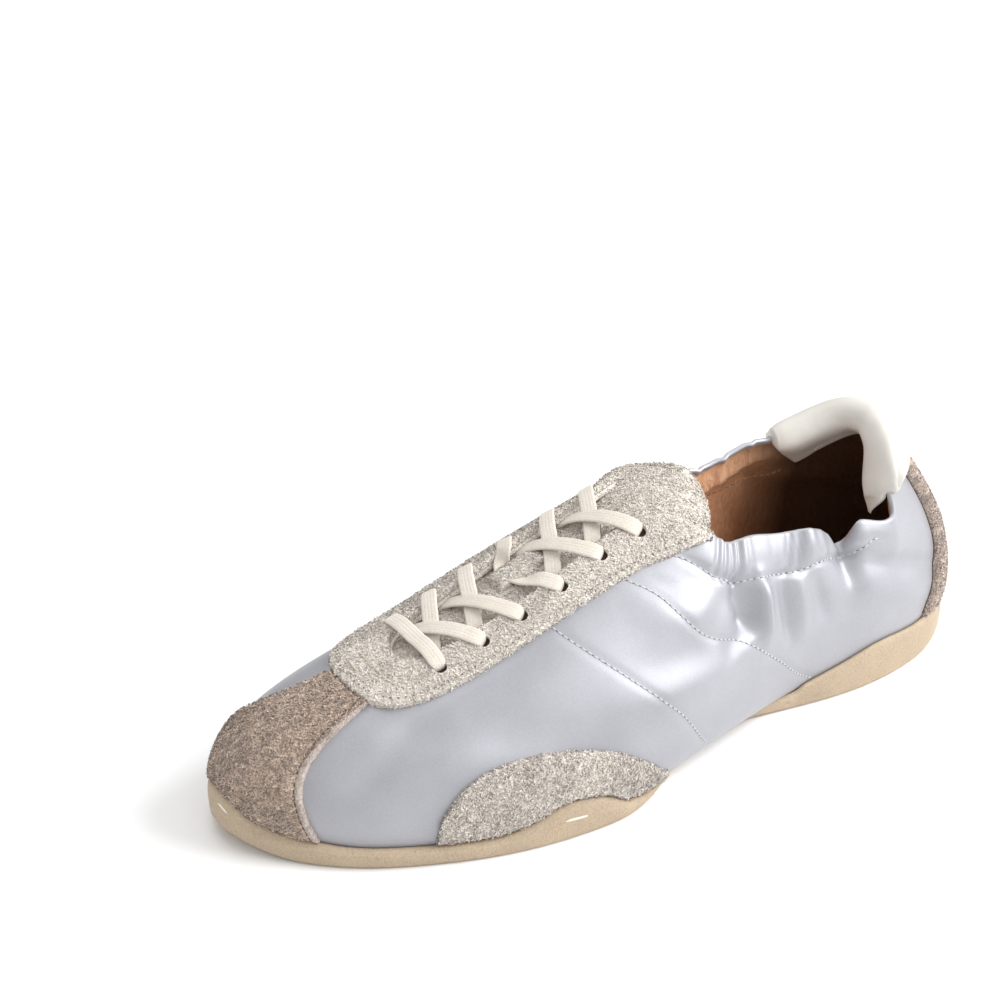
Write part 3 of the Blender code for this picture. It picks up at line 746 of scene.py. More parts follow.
def slab_faces(rows, cols):
    """Faces of a closed sheet between two grids of the same shape, the second after the first."""
    quads = lattice(rows, cols)
    count = rows * cols
    rim = list(range(cols))
    rim += [a * cols + cols - 1 for a in range(1, rows)]
    rim += [(rows - 1) * cols + b for b in range(cols - 2, -1, -1)]
    rim += [a * cols for a in range(rows - 2, 0, -1)]
    sides = [(i, j, count + j, count + i) for i, j in zip(rim, rim[1:] + rim[:1])]
    return np.concatenate([quads, quads[:, ::-1] + count, np.array(sides)])


def add_slab(name, top, bottom, finishes, places=None, replaces=()):
    """One piece that is a closed sheet between two grids of points."""
    points = np.concatenate([top.reshape(-1, 3), bottom.reshape(-1, 3)])
    return add_piece(name, points, slab_faces(*top.shape[:2]), finishes, places, replaces)


def edge_distance(points):
    """Distance of each point of a grid from the nearest of its four edges."""
    nearest = []
    for axis in (0, 1):
        run = runs_along(points, axis)
        nearest.append(np.minimum(run, np.take(run, [-1], axis=axis) - run))
    return np.minimum(*nearest)


def rounded(distance, radius):
    """The rise of a quarter-round edge, from 0 at the edge to 1 beyond its radius."""
    return np.sqrt(1 - (1 - np.clip(distance / radius, 0, 1)) ** 2)


EDGE_SEAM = 2.4
EDGE_SEAM_DEPTH = 0.7
EDGE_SEAM_WIDTH = 0.5
SUEDE_ROUND = 0.8
CUT_EDGE = 0.25
SUEDE_SINK = 0.3
UNSEWN = 99.0


def overlay(name, t, v, finishes, replaces=(), thick=SUEDE):
    """A suede sheet on the satin, with soft cut edges; a second finish makes a sewn first edge."""
    base = wall(t, v)
    rise = rounded(edge_distance(base), SUEDE_ROUND)
    offset = CUT_EDGE + (OVERLAY_GAP + thick - CUT_EDGE) * rise
    places = None
    if len(finishes) > 1:
        run = runs_along(base, 1)
        offset = offset - EDGE_SEAM_DEPTH * bell(run - EDGE_SEAM, EDGE_SEAM_WIDTH)
        flat = np.concatenate([run.ravel(), np.full(t.size, UNSEWN)])
        places = (flat[slab_faces(*t.shape)].mean(axis=1) < EDGE_SEAM).astype(int)
    top = coat(t, v, offset)
    return add_slab(name, top, coat(t, v, -SUEDE_SINK), finishes, places, replaces), top


def set_stops(ramp, stops):
    """Gives a colour ramp its (place, colour) stops."""
    while len(ramp.elements) < len(stops):
        ramp.elements.new(0.5)
    for element, (place, colour) in zip(ramp.elements, stops):
        element.position = place
        element.color = (*colour, 1.0)


class Paint:
    """A material being made: one Principled shader and the textures that feed it."""

    def __init__(self, name, colour, roughness, **sockets):
        self.made = bpy.data.materials.new(name)
        self.made.use_nodes = True
        self.tree = self.made.node_tree
        self.shader = self.tree.nodes["Principled BSDF"]
        self.set("Base Color", (*colour, 1.0))
        self.set("Roughness", roughness)
        for socket, value in sockets.items():
            self.set(socket.replace("_", " "), value)
        self.coords = self.tree.nodes.new("ShaderNodeTexCoord").outputs["Object"]
        self.last_bump = None

    def set(self, socket, value):
        self.shader.inputs[socket].default_value = value

    def link(self, source, target):
        self.tree.links.new(source, target)

    def stretched(self, scale):
        """The coordinates, stretched by a scale along each axis."""
        node = self.tree.nodes.new("ShaderNodeMapping")
        node.inputs["Scale"].default_value = scale
        self.link(self.coords, node.inputs["Vector"])
        return node.outputs["Vector"]

    def noise(self, size, detail=3.0, distortion=0.0, coords=None):
        """Noise whose features are about size mm across."""
        node = self.tree.nodes.new("ShaderNodeTexNoise")
        node.inputs["Scale"].default_value = 1.0 / (size * MM)
        node.inputs["Detail"].default_value = detail
        node.inputs["Distortion"].default_value = distortion
        self.link(coords or self.coords, node.inputs["Vector"])
        return node.outputs["Fac"]

    def cells(self, size, feature="F1"):
        """Rounded cells about size mm across."""
        node = self.tree.nodes.new("ShaderNodeTexVoronoi")
        node.feature = feature
        node.inputs["Scale"].default_value = 1.0 / (size * MM)
        self.link(self.coords, node.inputs["Vector"])
        return node.outputs["Distance"]

    def ramp(self, factor, stops):
        """Colours along a factor, as (place, colour) stops."""
        node = self.tree.nodes.new("ShaderNodeValToRGB")
        set_stops(node.color_ramp, stops)
        self.link(factor, node.inputs["Fac"])
        return node.outputs["Color"]

    def tones(self, factor, colour, low, high, start=0.3, end=0.7):
        """A colour from darker to paler along a factor."""
        return self.ramp(factor, [(start, scaled(colour, low)), (end, scaled(colour, high))])

    def level(self, factor, low, high):
        """A factor stretched from low..high to 0..1."""
        node = self.tree.nodes.new("ShaderNodeMapRange")
        node.inputs["From Min"].default_value = low
        node.inputs["From Max"].default_value = high
        self.link(factor, node.inputs["Value"])
        return node.outputs["Result"]

    def mix(self, factor, first, second, kind="MIX"):
        node = self.tree.nodes.new("ShaderNodeMix")
        node.data_type = "RGBA"
        node.blend_type = kind
        inputs = node.inputs
        for socket, value in ((inputs[0], factor), (inputs[6], first), (inputs[7], second)):
            if isinstance(value, (int, float)):
                socket.default_value = value
            elif isinstance(value, tuple):
                socket.default_value = (*value, 1.0)
            else:
                self.link(value, socket)
        return node.outputs[2]

    def bump(self, height, strength, depth):
        """Adds a bump of some depth in mm on top of those already there."""
        node = self.tree.nodes.new("ShaderNodeBump")
        node.inputs["Strength"].default_value = strength
        node.inputs["Distance"].default_value = depth * MM
        self.link(height, node.inputs["Height"])
        if self.last_bump:
            self.link(self.last_bump, node.inputs["Normal"])
        self.last_bump = node.outputs["Normal"]
        self.link(self.last_bump, self.shader.inputs["Normal"])

    def colour(self, socket):
        self.link(socket, self.shader.inputs["Base Color"])

    def roughness(self, factor, low, high):
        node = self.tree.nodes.new("ShaderNodeMapRange")
        node.inputs["To Min"].default_value = low
        node.inputs["To Max"].default_value = high
        self.link(factor, node.inputs["Value"])
        self.link(node.outputs["Result"], self.shader.inputs["Roughness"])


def scaled(colour, by):
    return tuple(c * by for c in colour)


def satin_paint(name, colour):
    paint = Paint(name, colour, 0.5, Metallic=0.55, Sheen_Weight=0.15, Sheen_Roughness=0.4)
    weave = paint.noise(0.6, 2.0, coords=paint.stretched((1.0, 1.0, 2.0)))
    cloud = paint.noise(14.0, 2.0)
    tone = paint.tones(cloud, colour, 0.93, 1.04)
    paint.colour(paint.mix(0.3, tone, paint.tones(weave, colour, 0.75, 1.1)))
    paint.roughness(cloud, 0.47, 0.54)
    paint.bump(weave, 0.22, 0.08)
    return paint.made


def suede_paint(name, colour, shade, tip, clump):
    """Napped suede with painted light and shade in its nap, darker in the hollows and paler on the tips,
    and a soft uneven nap.
    """
    paint = Paint(name, colour, 0.95, Sheen_Weight=0.35, Sheen_Roughness=0.6, Specular_IOR_Level=0.15)
    curl = paint.noise(1.2, 2.0, 2.4)
    fluff = paint.noise(0.5, 1.0, 0.8)
    cloud = paint.noise(11.0, 2.0)
    # Painted shade and light: the shade colour where the bump is low, the tip colour where it is high.
    nap = paint.ramp(curl, [(0.36, shade), (0.48, colour), (0.62, tip)])
    fine = paint.ramp(fluff, [(0.35, shade), (0.6, tip)])
    tone = paint.mix(0.4, nap, fine)
    patchy = paint.ramp(cloud, [(0.3, (0.86, 0.85, 0.84)), (0.7, (1.06, 1.06, 1.06))])
    tufts = paint.ramp(paint.noise(2.6, 2.0, 1.6), [(0.36, (clump,) * 3), (0.62, (1.1,) * 3)])
    paint.colour(paint.mix(1.0, paint.mix(1.0, tone, patchy, "MULTIPLY"), tufts, "MULTIPLY"))
    paint.bump(curl, 1.0, 1.0)
    paint.bump(fluff, 0.8, 0.4)
    return paint.made


def leather_paint(name, colour, roughness, pore, wrinkle):
    paint = Paint(name, colour, roughness, Coat_Weight=0.08, Coat_Roughness=0.35)
    pores = paint.cells(pore)
    lines = paint.noise(wrinkle, 4.0, 1.2)
    paint.colour(paint.tones(lines, colour, 0.95, 1.03))
    paint.roughness(lines, roughness - 0.06, roughness + 0.08)
    paint.bump(lines, 0.25, 0.4)
    paint.bump(pores, 0.3, 0.08)
    return paint.made


# Painted shade of the lining: full colour forward of LIT_PLACE (object x, in metres), falling to near-black
# by DARK_PLACE towards the heel.
LIT_PLACE = 0.056
DARK_PLACE = 0.088
LINING_PAINTED_SHADE = ((0.0, (1.0, 1.0, 1.0)), (0.45, (0.42, 0.38, 0.34)), (1.0, (0.06, 0.05, 0.04)))


def lining_paint(name, colour):
    """Soft leather with painted shade, full colour near the tongue and near-black in the heel, with fine
    wrinkles.
    """
    paint = Paint(name, colour, 0.5, Coat_Weight=0.1, Coat_Roughness=0.4)
    wrinkles = paint.noise(1.6, 3.0, 1.0, paint.stretched((1.0, 1.0, 0.35)))
    pores = paint.cells(0.7)
    split = paint.tree.nodes.new("ShaderNodeSeparateXYZ")
    paint.link(paint.coords, split.inputs["Vector"])
    # Painted shade: how far back towards the heel a place lies, from LIT_PLACE to DARK_PLACE.
    depth = paint.level(split.outputs["X"], LIT_PLACE, DARK_PLACE)
    shade = paint.ramp(depth, LINING_PAINTED_SHADE)
    tone = paint.tones(wrinkles, colour, 0.85, 1.15, end=0.65)
    paint.colour(paint.mix(1.0, tone, shade, "MULTIPLY"))
    paint.bump(wrinkles, 0.6, 0.8)
    paint.bump(pores, 0.3, 0.1)
    return paint.made


def rubber_paint(name, colour):
    paint = Paint(name, colour, 0.55, Subsurface_Weight=0.2, Subsurface_Scale=0.004)
    paint.set("Subsurface Radius", (1.0, 0.6, 0.3))
    specks = paint.cells(1.6)
    crumb = paint.noise(0.6, 3.0)
    cloud = paint.noise(18.0, 3.0)
    base = paint.tones(cloud, colour, 0.92, 1.06)
    speck = paint.level(specks, 0.16, 0.1)
    tone = paint.mix(speck, base, scaled(colour, 0.72))
    grain = paint.ramp(crumb, [(0.3, (0.8, 0.78, 0.74)), (0.7, (1.08, 1.08, 1.08))])
    paint.colour(paint.mix(0.8, tone, grain, "MULTIPLY"))
    paint.roughness(crumb, 0.48, 0.68)
    paint.bump(crumb, 0.7, 0.3)
    return paint.made


def cotton_paint(name, colour):
    paint = Paint(name, colour, 0.85, Sheen_Weight=0.3)
    knit = paint.noise(0.35, 2.0)
    cloud = paint.noise(5.0, 2.0)
    tone = paint.tones(knit, colour, 0.78, 1.03, 0.25, 0.65)
    soft = paint.ramp(cloud, [(0.3, (0.94, 0.93, 0.9)), (0.7, (1.0, 1.0, 1.0))])
    paint.colour(paint.mix(1.0, tone, soft, "MULTIPLY"))
    paint.bump(knit, 0.5, 0.15)
    return paint.made


def plain_paint(name, colour, roughness):
    paint = Paint(name, colour, roughness)
    paint.colour(paint.tones(paint.noise(2.0), colour, 0.9, 1.08))
    return paint.made


SATIN = (0.415, 0.418, 0.450)
CREAM = (0.92, 0.85, 0.765)
TAUPE = (0.72, 0.55, 0.44)
GREY = (0.92, 0.84, 0.755)
# Painted light: the heel strip's taupe suede made paler, as if it were more brightly lit.
LIT_TAUPE = (0.79, 0.65, 0.56)


def make_paints():
    return {
        "satin": satin_paint("silver_satin", SATIN),
        "edge": satin_paint("satin_edge", (0.52, 0.52, 0.55)),
        "cream": suede_paint("cream_suede", CREAM, scaled(CREAM, 0.86), scaled(CREAM, 1.07), 0.95),
        "taupe": suede_paint("taupe_suede", TAUPE, scaled(TAUPE, 0.3), scaled(TAUPE, 1.35), 0.66),
        # Painted light: a paler copy of the taupe suede for the heel strip.
        "strip": suede_paint("strip_suede", LIT_TAUPE, scaled(LIT_TAUPE, 0.4), scaled(LIT_TAUPE, 1.25), 0.8),
        "grey": suede_paint("grey_suede", GREY, scaled(GREY, 0.4), scaled(GREY, 1.2), 0.76),
        "tab": leather_paint("cream_leather", (0.68, 0.655, 0.605), 0.45, 0.7, 9.0),
        "lining": lining_paint("tan_leather", (0.90, 0.53, 0.32)),
        # Painted light: a paler lit copy of the lining leather, without its painted shade, for the inside
        # of the outer scallops.
        "lit_lining": leather_paint("lit_leather", (0.60, 0.32, 0.17), 0.5, 0.7, 3.0),
        "sole": rubber_paint("gum_rubber", (0.49, 0.39, 0.28)),
        "lace": cotton_paint("cotton", (0.78, 0.72, 0.64)),
        "thread": cotton_paint("pale_thread", (0.62, 0.62, 0.66)),
        "cream_thread": cotton_paint("cream_thread", (0.62, 0.56, 0.46)),
        # Painted shadow: near-black for the insides of the eyelets and the gaps beside the heel strip.
        "hole": plain_paint("hole_shadow", (0.05, 0.035, 0.025), 0.95),
        # Painted shade: dark grey for the insides of needle holes and pinholes.
        "hole_shade": plain_paint("needle_hole_shade", (0.2, 0.18, 0.17), 0.9),
        "bead": suede_paint("pale_edge", (0.58, 0.48, 0.42), (0.40, 0.32, 0.27), (0.68, 0.59, 0.53), 0.85),
        "dark_thread": cotton_paint("brown_thread", (0.16, 0.11, 0.08)),
        "tan_thread": cotton_paint("tan_thread", (0.36, 0.19, 0.10)),
        "mark": plain_paint("pale_mark", (0.85, 0.80, 0.70), 0.6),
    }


UPPER_FINISHES = ("satin", "edge", "lining", "cream", "lit_lining")
UPPER_COLUMNS = 528
UPPER_CELLS = 72
LINING_CELLS = 44
LINING_PUFF = 1.4
RIM_CELLS = 6
FACING = 0.7
THROAT = (5.1, 16.95)
# Rows, and depth below the collar's edge, where the lining takes its lit copy: painted light by the outer
# scallops.
LIT_LINING_ROWS = (1.3, 3.1)
LIT_LINING_DEPTH = 14.0


def make_upper(paints):
    """The satin shell with its rolled edge, and its leather lining."""
    satin, edge, lining, cream, lit_lining = range(len(UPPER_FINISHES))
    t = np.arange(UPPER_COLUMNS) * ROWS / UPPER_COLUMNS
    foot, out, _ = feather(t)
    turned = foot - out * MARGIN
    turned[:, 2] = plate(turned[:, 0])
    loops = [turned] + [coat(t, v, 0.0) for v in np.linspace(0, 1, UPPER_CELLS + 1)]
    places = [np.full(len(t), satin) for _ in loops]
    top, below = coat(t, 1.0, 0.0), coat(t, 1.0, -WALL)
    middle, half = (top + below) / 2, (top - below) / 2
    rise = unit(top - coat(t, 0.96, 0.0)) * (WALL / 2)
    for k in range(1, RIM_CELLS):
        angle = math.pi * k / RIM_CELLS
        loops.append(middle + half * math.cos(angle) + rise * math.sin(angle))
        places.append(np.full(len(t), edge))
    facing = climb(t, FACING, True)
    for share in np.linspace(1, 0, LINING_CELLS + 1):
        v = np.where(share == 1, 1.0, facing * (share + 0.5 / LINING_CELLS).clip(0, 1))
        drop = np.linalg.norm(wall(t, 1.0) - wall(t, v), axis=-1)
        puffed = np.clip(drop / band(LINING_SEAM, mirrored(t)), 0, 1)
        puff = LINING_PUFF * np.sin(math.pi * puffed) ** 2 * (mirrored(t) < 5.0)
        loops.append(coat(t, v, -WALL - puff))
        # Painted light: the lit copy of the lining goes near the outer scallops.
        lit_lining_mask = (t > LIT_LINING_ROWS[0]) & (t < LIT_LINING_ROWS[1]) & (drop < LIT_LINING_DEPTH)
        places.append(np.full(len(t), edge) if share == 1 else np.where(lit_lining_mask, lit_lining, lining))
    spots = np.stack(places[:-1])
    throat = (t > THROAT[0]) & (t < THROAT[1])
    spots[:, throat] = np.where(spots[:, throat] == edge, cream, spots[:, throat])
    finishes = [paints[name] for name in UPPER_FINISHES]
    faces = lattice(len(loops), len(t), wrap=True)
    add_piece("upper_shell", np.concatenate(loops), faces, finishes, spots.ravel(), ("upper",))


SOLE_COLUMNS = 440
SOLE_LIP_CELLS = 8
SOLE_BARS = 8
TREAD_CELLS = 4
CLING = Fade(-1.0, 2.4)
LIP_ROUND = 0.5


def close_loop(points, faces, start, n, height):
    """Closes a loop with bars from its outer to its inner side; height gives the level at each place."""
    ring = points[start : start + n]
    half = n // 2
    bars = {0: [start] * (SOLE_BARS + 1), half: [start + half] * (SOLE_BARS + 1)}
    for i in range(1, half):
        a, b = ring[i], ring[n - i]
        bar = [start + i]
        for k in range(1, SOLE_BARS):
            p = a + (b - a) * k / SOLE_BARS
            points.append(np.array([p[0], p[1], height(p[0])]))
            bar.append(len(points) - 1)
        bars[i] = bar + [start + n - i]
    for i in range(half):
        for k in range(SOLE_BARS):
            quad = [bars[i][k], bars[i][k + 1], bars[i + 1][k + 1], bars[i + 1][k]]
            faces.append(tuple(dict.fromkeys(quad)))


def make_outsole(paints):
    t = np.arange(SOLE_COLUMNS) * ROWS / SOLE_COLUMNS
    foot, out, row = feather(t)
    edge = row["edge"][:, None]
    loops = []
    for angle in np.linspace(0, math.pi / 2, TREAD_CELLS + 1):
        ring = foot + out * (edge - TREAD_ROUND * (1 - math.sin(angle)))
        ring[:, 2] = tread((foot + out * (edge - TREAD_ROUND))[:, 0])
        ring[:, 2] += TREAD_ROUND * (1 - math.cos(angle))
        loops.append(ring)
    top = lip_v(t)
    cling = faded(row["edge"], CLING)[:, None]
    shares = np.linspace(0, 1, SOLE_LIP_CELLS + 1)
    stops = [(share, True) for share in shares] + [(share, False) for share in shares[::-1]]
    for count, (share, outer) in enumerate(stops):
        thick = np.maximum(row["edge"], LIP_EDGE) * (1 - share) + LIP_EDGE * share
        thick = thick - LIP_ROUND * max(0.0, (share - 0.7) / 0.3) ** 2
        wrapped = skin(t, top * share, GAP + thick * outer)
        lowest = share == 0 and not outer
        wrapped[:, 2] -= GAP if lowest else GAP * (1 - cling[:, 0])
        tucked = foot + out * (edge - TUCK_STEP * 6 * (count + 1) / len(stops))
        tucked[:, 2] -= GAP
        loops.append(tucked + (wrapped - tucked) * cling)
    seat = foot + out * (np.minimum(edge, 0) - WALL - TUCK_STEP * 9)
    seat[:, 2] = plate(seat[:, 0]) - GAP
    loops.append(seat)
    points = [p for loop in loops for p in loop]
    faces = [tuple(f) for f in lattice(len(loops), len(t), wrap=True)]
    close_loop(points, faces, 0, len(t), tread)
    close_loop(points, faces, (len(loops) - 1) * len(t), len(t), lambda s: float(plate(s)) - GAP)
    add_piece("gum_sole", np.array(points), faces, [paints["sole"]], replaces=("outsole",))


def patch_grid():
    across, up = crowded(110), crowded(34)
    rim = curve_through(range(len(PATCH)), np.array(PATCH, float), across * (len(PATCH) - 1))
    t, height = rim[:, 0], rim[:, 1]
    low = lip(t) + 0.6
    height = np.maximum(height, low + 0.8)
    v = climb(t[:, None] + 0 * up, low[:, None] * (1 - up) + height[:, None] * up)
    return t[:, None] + 0 * up, v


def toe_cap_grid():
    share, mix = crowded(70)[:, None], crowded(80)
    wing = curve_through([w.share for w in TOE_CAP], np.array(TOE_CAP, float), share[:, 0])
    t = wing[:, 1:2] * (1 - mix) + wing[:, 2:3] * mix
    low, high = lip_v(t) + 0.004, eyestay_low(t) - 0.004
    return t, low * (1 - share) + high * share


def strip_columns(share):
    rows = np.array(HEEL_STRIP, float)
    return curve_through(rows[:, 0], rows, share)


STRIP_CELLS = (60, 50)
STRIP_GAP = 0.006
TAB_LAP = 1.5


def strip_ends(t):
    """The v of the heel strip's lower and upper ends."""
    return lip_v(t) + STRIP_GAP, climb(t, tab_reach(t)[0] - TAB_LAP, True)


def heel_strip_grid():
    share, mix = (crowded(cells) for cells in STRIP_CELLS)
    t = strip_columns(share)[:, 1][:, None] * (2 * mix - 1)
    low, high = strip_ends(t)
    return t, low * (1 - share[:, None]) + high * share[:, None]


def eyestay_grid():
    along, share = crowded(300, 0.5), crowded(26, 0.6)
    t = EYESTAY[0].row + (EYESTAY[-1].row - EYESTAY[0].row) * along
    v = eyestay_low(t)[:, None] * (1 - share) + 1.0 * share
    return t[:, None] + 0 * share, v


def eyelets():
    """(t, v) of each eyelet, outer row then inner row, from the toe backwards."""
    outer = np.array([e.row for e in EYELET_ROWS])
    inset = np.array([e.width for e in EYELET_ROWS])
    return [(t, climb(t, inset, True)) for t in (outer, ROWS - outer)]


def punch(target):
    """Cuts the eyelets through the eyestay and leaves the cut mesh on it."""
    cutters = bmesh.new()
    for t, v in eyelets():
        for tk, vk in zip(t, v):
            a, b = (to_world(skin(tk, vk, offset)) for offset in (-WALL - 2, SUEDE + 3))
            turn = Vector((0, 0, 1)).rotation_difference(Vector(b - a)).to_matrix().to_4x4()
            bmesh.ops.create_cone(
                cutters,
                cap_ends=True,
                segments=24,
                radius1=EYELET_RADIUS * MM,
                radius2=EYELET_RADIUS * MM,
                depth=float(np.linalg.norm(b - a)),
                matrix=Matrix.Translation(Vector((a + b) / 2)) @ turn,
            )
    mesh = bpy.data.meshes.new("eyelet_punches")
    cutters.to_mesh(mesh)
    cutters.free()
    tool = put("eyelet_punches", mesh)
    cut = target.modifiers.new("eyelets", "BOOLEAN")
    cut.operation = "DIFFERENCE"
    cut.solver = "EXACT"
    cut.object = tool
    done = bpy.data.meshes.new_from_object(target.evaluated_get(bpy.context.evaluated_depsgraph_get()))
    target.modifiers.clear()
    target.data = done
    bpy.data.objects.remove(tool)


# Rings of the painted shadow inside an eyelet: shares of its radius, and how far each stands above its
# floor.
HOLE_RINGS = ((0.7, 0.0), (1.06, 0.5))
HOLE_SIDES = 16
HOLE_FLOOR = 0.35


def make_eyelet_shadows(paints):
    """Painted shadow inside each punched eyelet: dark discs just over the satin under the hole."""
    points, faces = [], []
    for t, v in eyelets():
        for tk, vk in zip(t, v):
            centre, way = skin(tk, vk, HOLE_FLOOR), normal(tk, vk)
            side = unit(np.cross(way, UP))
            other = np.cross(way, side)
            start = len(points)
            for radius, lift in HOLE_RINGS:
                for a in np.linspace(0, 2 * math.pi, HOLE_SIDES, endpoint=False):
                    at = EYELET_RADIUS * radius * (side * math.cos(a) + other * math.sin(a))
                    points.append(centre + at + way * lift)
            faces += [tuple(start + f) for f in lattice(len(HOLE_RINGS), HOLE_SIDES, wrap=True)]
            faces.append(tuple(range(start, start + HOLE_SIDES)))
    add_piece("eyelet_hole_shadows", np.array(points), faces, [paints["hole"]])


def grid_ups(points, facing):
    """Outward directions of a grid of points, on the side that facing points to."""
    way = np.cross(np.gradient(points, axis=0), np.gradient(points, axis=1))
    way /= np.maximum(np.linalg.norm(way, axis=-1, keepdims=True), 1e-9)
    return way if np.sum(way * facing) > 0 else -way


NAP_DENSITY = 3.4
NAP_LENGTH = 0.85
NAP_WIDTH = 0.48
FIBRE_STEPS = ((0.0, 0.0, 1.0), (0.35, 0.75, 1.0), (0.7, 1.0, 0.8), (1.0, 0.75, 0.35))


def nap(name, points, facing, rim, finish, slot, seed, holes=()):
    """Curled fibres over a suede sheet, with some more along its rim, as thin ribbons."""
    rng = np.random.default_rng(seed)
    ups = grid_ups(points, facing)
    across = np.linalg.norm(np.diff(points, axis=0), axis=-1)[:, :-1]
    along = np.linalg.norm(np.diff(points, axis=1), axis=-1)[:-1]
    area = (across * along).ravel()
    count = int(area.sum() * NAP_DENSITY)
    rows, cols = points.shape[:2]
    i, j = np.divmod(rng.choice(len(area), count, p=area / area.sum()), cols - 1)
    a, b = rng.random(count), rng.random(count)
    pick, place = rng.integers(0, 4, rim), rng.random(rim)
    ends = pick < 2
    i = np.concatenate([i, np.where(ends, (pick == 1) * (rows - 2), (place * (rows - 2)).astype(int))])
    j = np.concatenate([j, np.where(ends, (place * (cols - 2)).astype(int), (pick == 3) * (cols - 2))])
    a = np.concatenate([a, np.where(ends, pick == 1, rng.random(rim))])[:, None]
    b = np.concatenate([b, np.where(ends, rng.random(rim), pick == 3)])[:, None]
    total = count + rim

    def blend(grid):
        low = grid[i, j] * (1 - b) + grid[i, j + 1] * b
        high = grid[i + 1, j] * (1 - b) + grid[i + 1, j + 1] * b
        return low * (1 - a) + high * a

    root, up = blend(points), blend(ups)
    first = unit(np.cross(up, [0.3, 0.5, 0.8]))
    second = np.cross(up, first)
    angle = rng.random(total)[:, None] * 2 * math.pi
    curl = rng.normal(0, 2.2, total)[:, None]
    size = NAP_LENGTH * (0.5 + rng.random(total))[:, None]
    rise = (0.15 + 0.45 * rng.random(total))[:, None]
    wide = NAP_WIDTH * (0.6 + 0.8 * rng.random(total))[:, None]
    stops, place, last = [], root - 0.08 * up, 0.0
    for step, lift, share in FIBRE_STEPS:
        turn = angle + curl * step
        way = first * np.cos(turn) + second * np.sin(turn)
        place = place + way * size * (step - last)
        last = step
        middle = place + up * rise * lift
        side = np.cross(up, way) * wide * share / 2
        stops += [middle - side, middle + side]
    fibres = np.stack(stops, axis=1)
    for hole in holes:
        fibres = fibres[np.linalg.norm(fibres - hole, axis=-1).min(axis=1) > EYELET_RADIUS]
    quads = np.array([(0, 1, 3, 2), (2, 3, 5, 4), (4, 5, 7, 6)])
    faces = (quads[None] + 8 * np.arange(len(fibres))[:, None, None]).reshape(-1, 4)
    return add_piece(name, fibres.reshape(-1, 3), faces, [finish])


Sheet = namedtuple("Sheet", "node grid paint slot rim")
SHEETS = (
    Sheet("toe_cap", toe_cap_grid, "taupe", "taupe_suede", 900),
    Sheet("side_patch", patch_grid, "grey", "grey_suede", 700),
    Sheet("heel_strip", heel_strip_grid, "strip", "taupe_suede", 700),
    Sheet("eyestay", eyestay_grid, "cream", "cream_suede", 1600),
)


def make_overlays(paints):
    for seed, (node, grid, paint, slot, rim) in enumerate(SHEETS):
        t, v = grid()
        finishes, thick, first, holes = [paints[paint]], SUEDE, 0, ()
        if node == "toe_cap":
            finishes.append(paints["bead"])
            first = int(np.argmax(runs_along(wall(t, v), 1).mean(axis=0) > EDGE_SEAM))
        if node == "heel_strip":
            thick = strip_columns(crowded(STRIP_CELLS[0]))[:, 2:]
        piece, top = overlay(node + "_suede", t, v, finishes, (node,), thick)
        if node == "eyestay":
            punch(piece)
            holes = np.concatenate([skin(*row, OVERLAY_GAP + SUEDE) for row in eyelets()])
        facing = normal(t, v)[:, first:]
        nap(node + "_nap", top[:, first:], facing, rim, paints[paint], slot, seed, holes)


# The keeper's ends along the tongue and its edges across it, and how far it stands up.
KEEPER = (154.0, 138.0, -0.1, 0.4)
KEEPER_RISE = 2.0
TONGUE_LIFT = 0.6
TIP_SKEW = 4.5
FAR_SAG = 0.4
NEAR_SAG = 0.72
TIP_ROLL = 3.0
TIP_ROUND = 15.0
TIP_POWER = 2.4
TIP_LEAST = 0.1
TIP = Fade(118.0, -25.0)
KEEPER_ROUND = 2.4
KEEPER_SINK = 0.4


def tongue_share(along):
    """How far up the tongue a place lies, from 0 at its toe end to 1."""
    return (TONGUE[0].along - along) / (TONGUE[0].along - TONGUE[-1].along)


def tongue_point(share, across, offset):
    """A point of the tongue's top: share along it from the toe, across from -1 to 1."""
    places = [-s.along for s in TONGUE]
    rows = curve_through(places, np.array(TONGUE, float), places[0] + (places[-1] - places[0]) * share)
    along, side, up, half, drop = (rows[..., k] for k in range(5))
    end = TONGUE[-1].along
    near_end = ((end + TIP_ROUND - along) / TIP_ROUND).clip(0, 1)
    rounding = np.sqrt(np.clip(1 - near_end**TIP_POWER, TIP_LEAST, 1))
    sag = np.where(across > 0, FAR_SAG, NEAR_SAG)
    tip = faded(along, TIP)
    level = up + TONGUE_LIFT - sag * drop * across**2 + TIP_ROLL * across * tip + offset
    along = along + TIP_SKEW * across * tip
    return np.stack([along, side + half * rounding * across, level], -1)


def make_tongue(paints):
    """The tongue, and the keeper on it that the lace slips under."""
    cream, slot = paints["cream"], "cream_suede"
    share, across = np.meshgrid(crowded(120, 0.5), 2 * crowded(50) - 1, indexing="ij")
    top = tongue_point(share, across, 0.0)
    bottom = tongue_point(share, across, -TONGUE_THICK)
    thinned = TONGUE_THICK / 2 * (1 - rounded(edge_distance(top), SUEDE_ROUND))
    top[..., 2] -= thinned
    bottom[..., 2] += thinned
    add_slab("tongue_suede", top, bottom, [cream], replaces=("tongue",))
    nap("tongue_nap", top, UP, 700, cream, slot, 11)

    ahead, side = np.meshgrid(crowded(40), crowded(34), indexing="ij")
    share = tongue_share(KEEPER[0] + (KEEPER[1] - KEEPER[0]) * ahead)
    across = KEEPER[2] + (KEEPER[3] - KEEPER[2]) * side
    rise = rounded(edge_distance(tongue_point(share, across, 0.0)), KEEPER_ROUND)
    top = tongue_point(share, across, KEEPER_RISE * rise + 0.1)
    add_slab("lace_keeper", top, tongue_point(share, across, -KEEPER_SINK), [cream])
    nap("keeper_nap", top, UP, 160, cream, slot, 12)


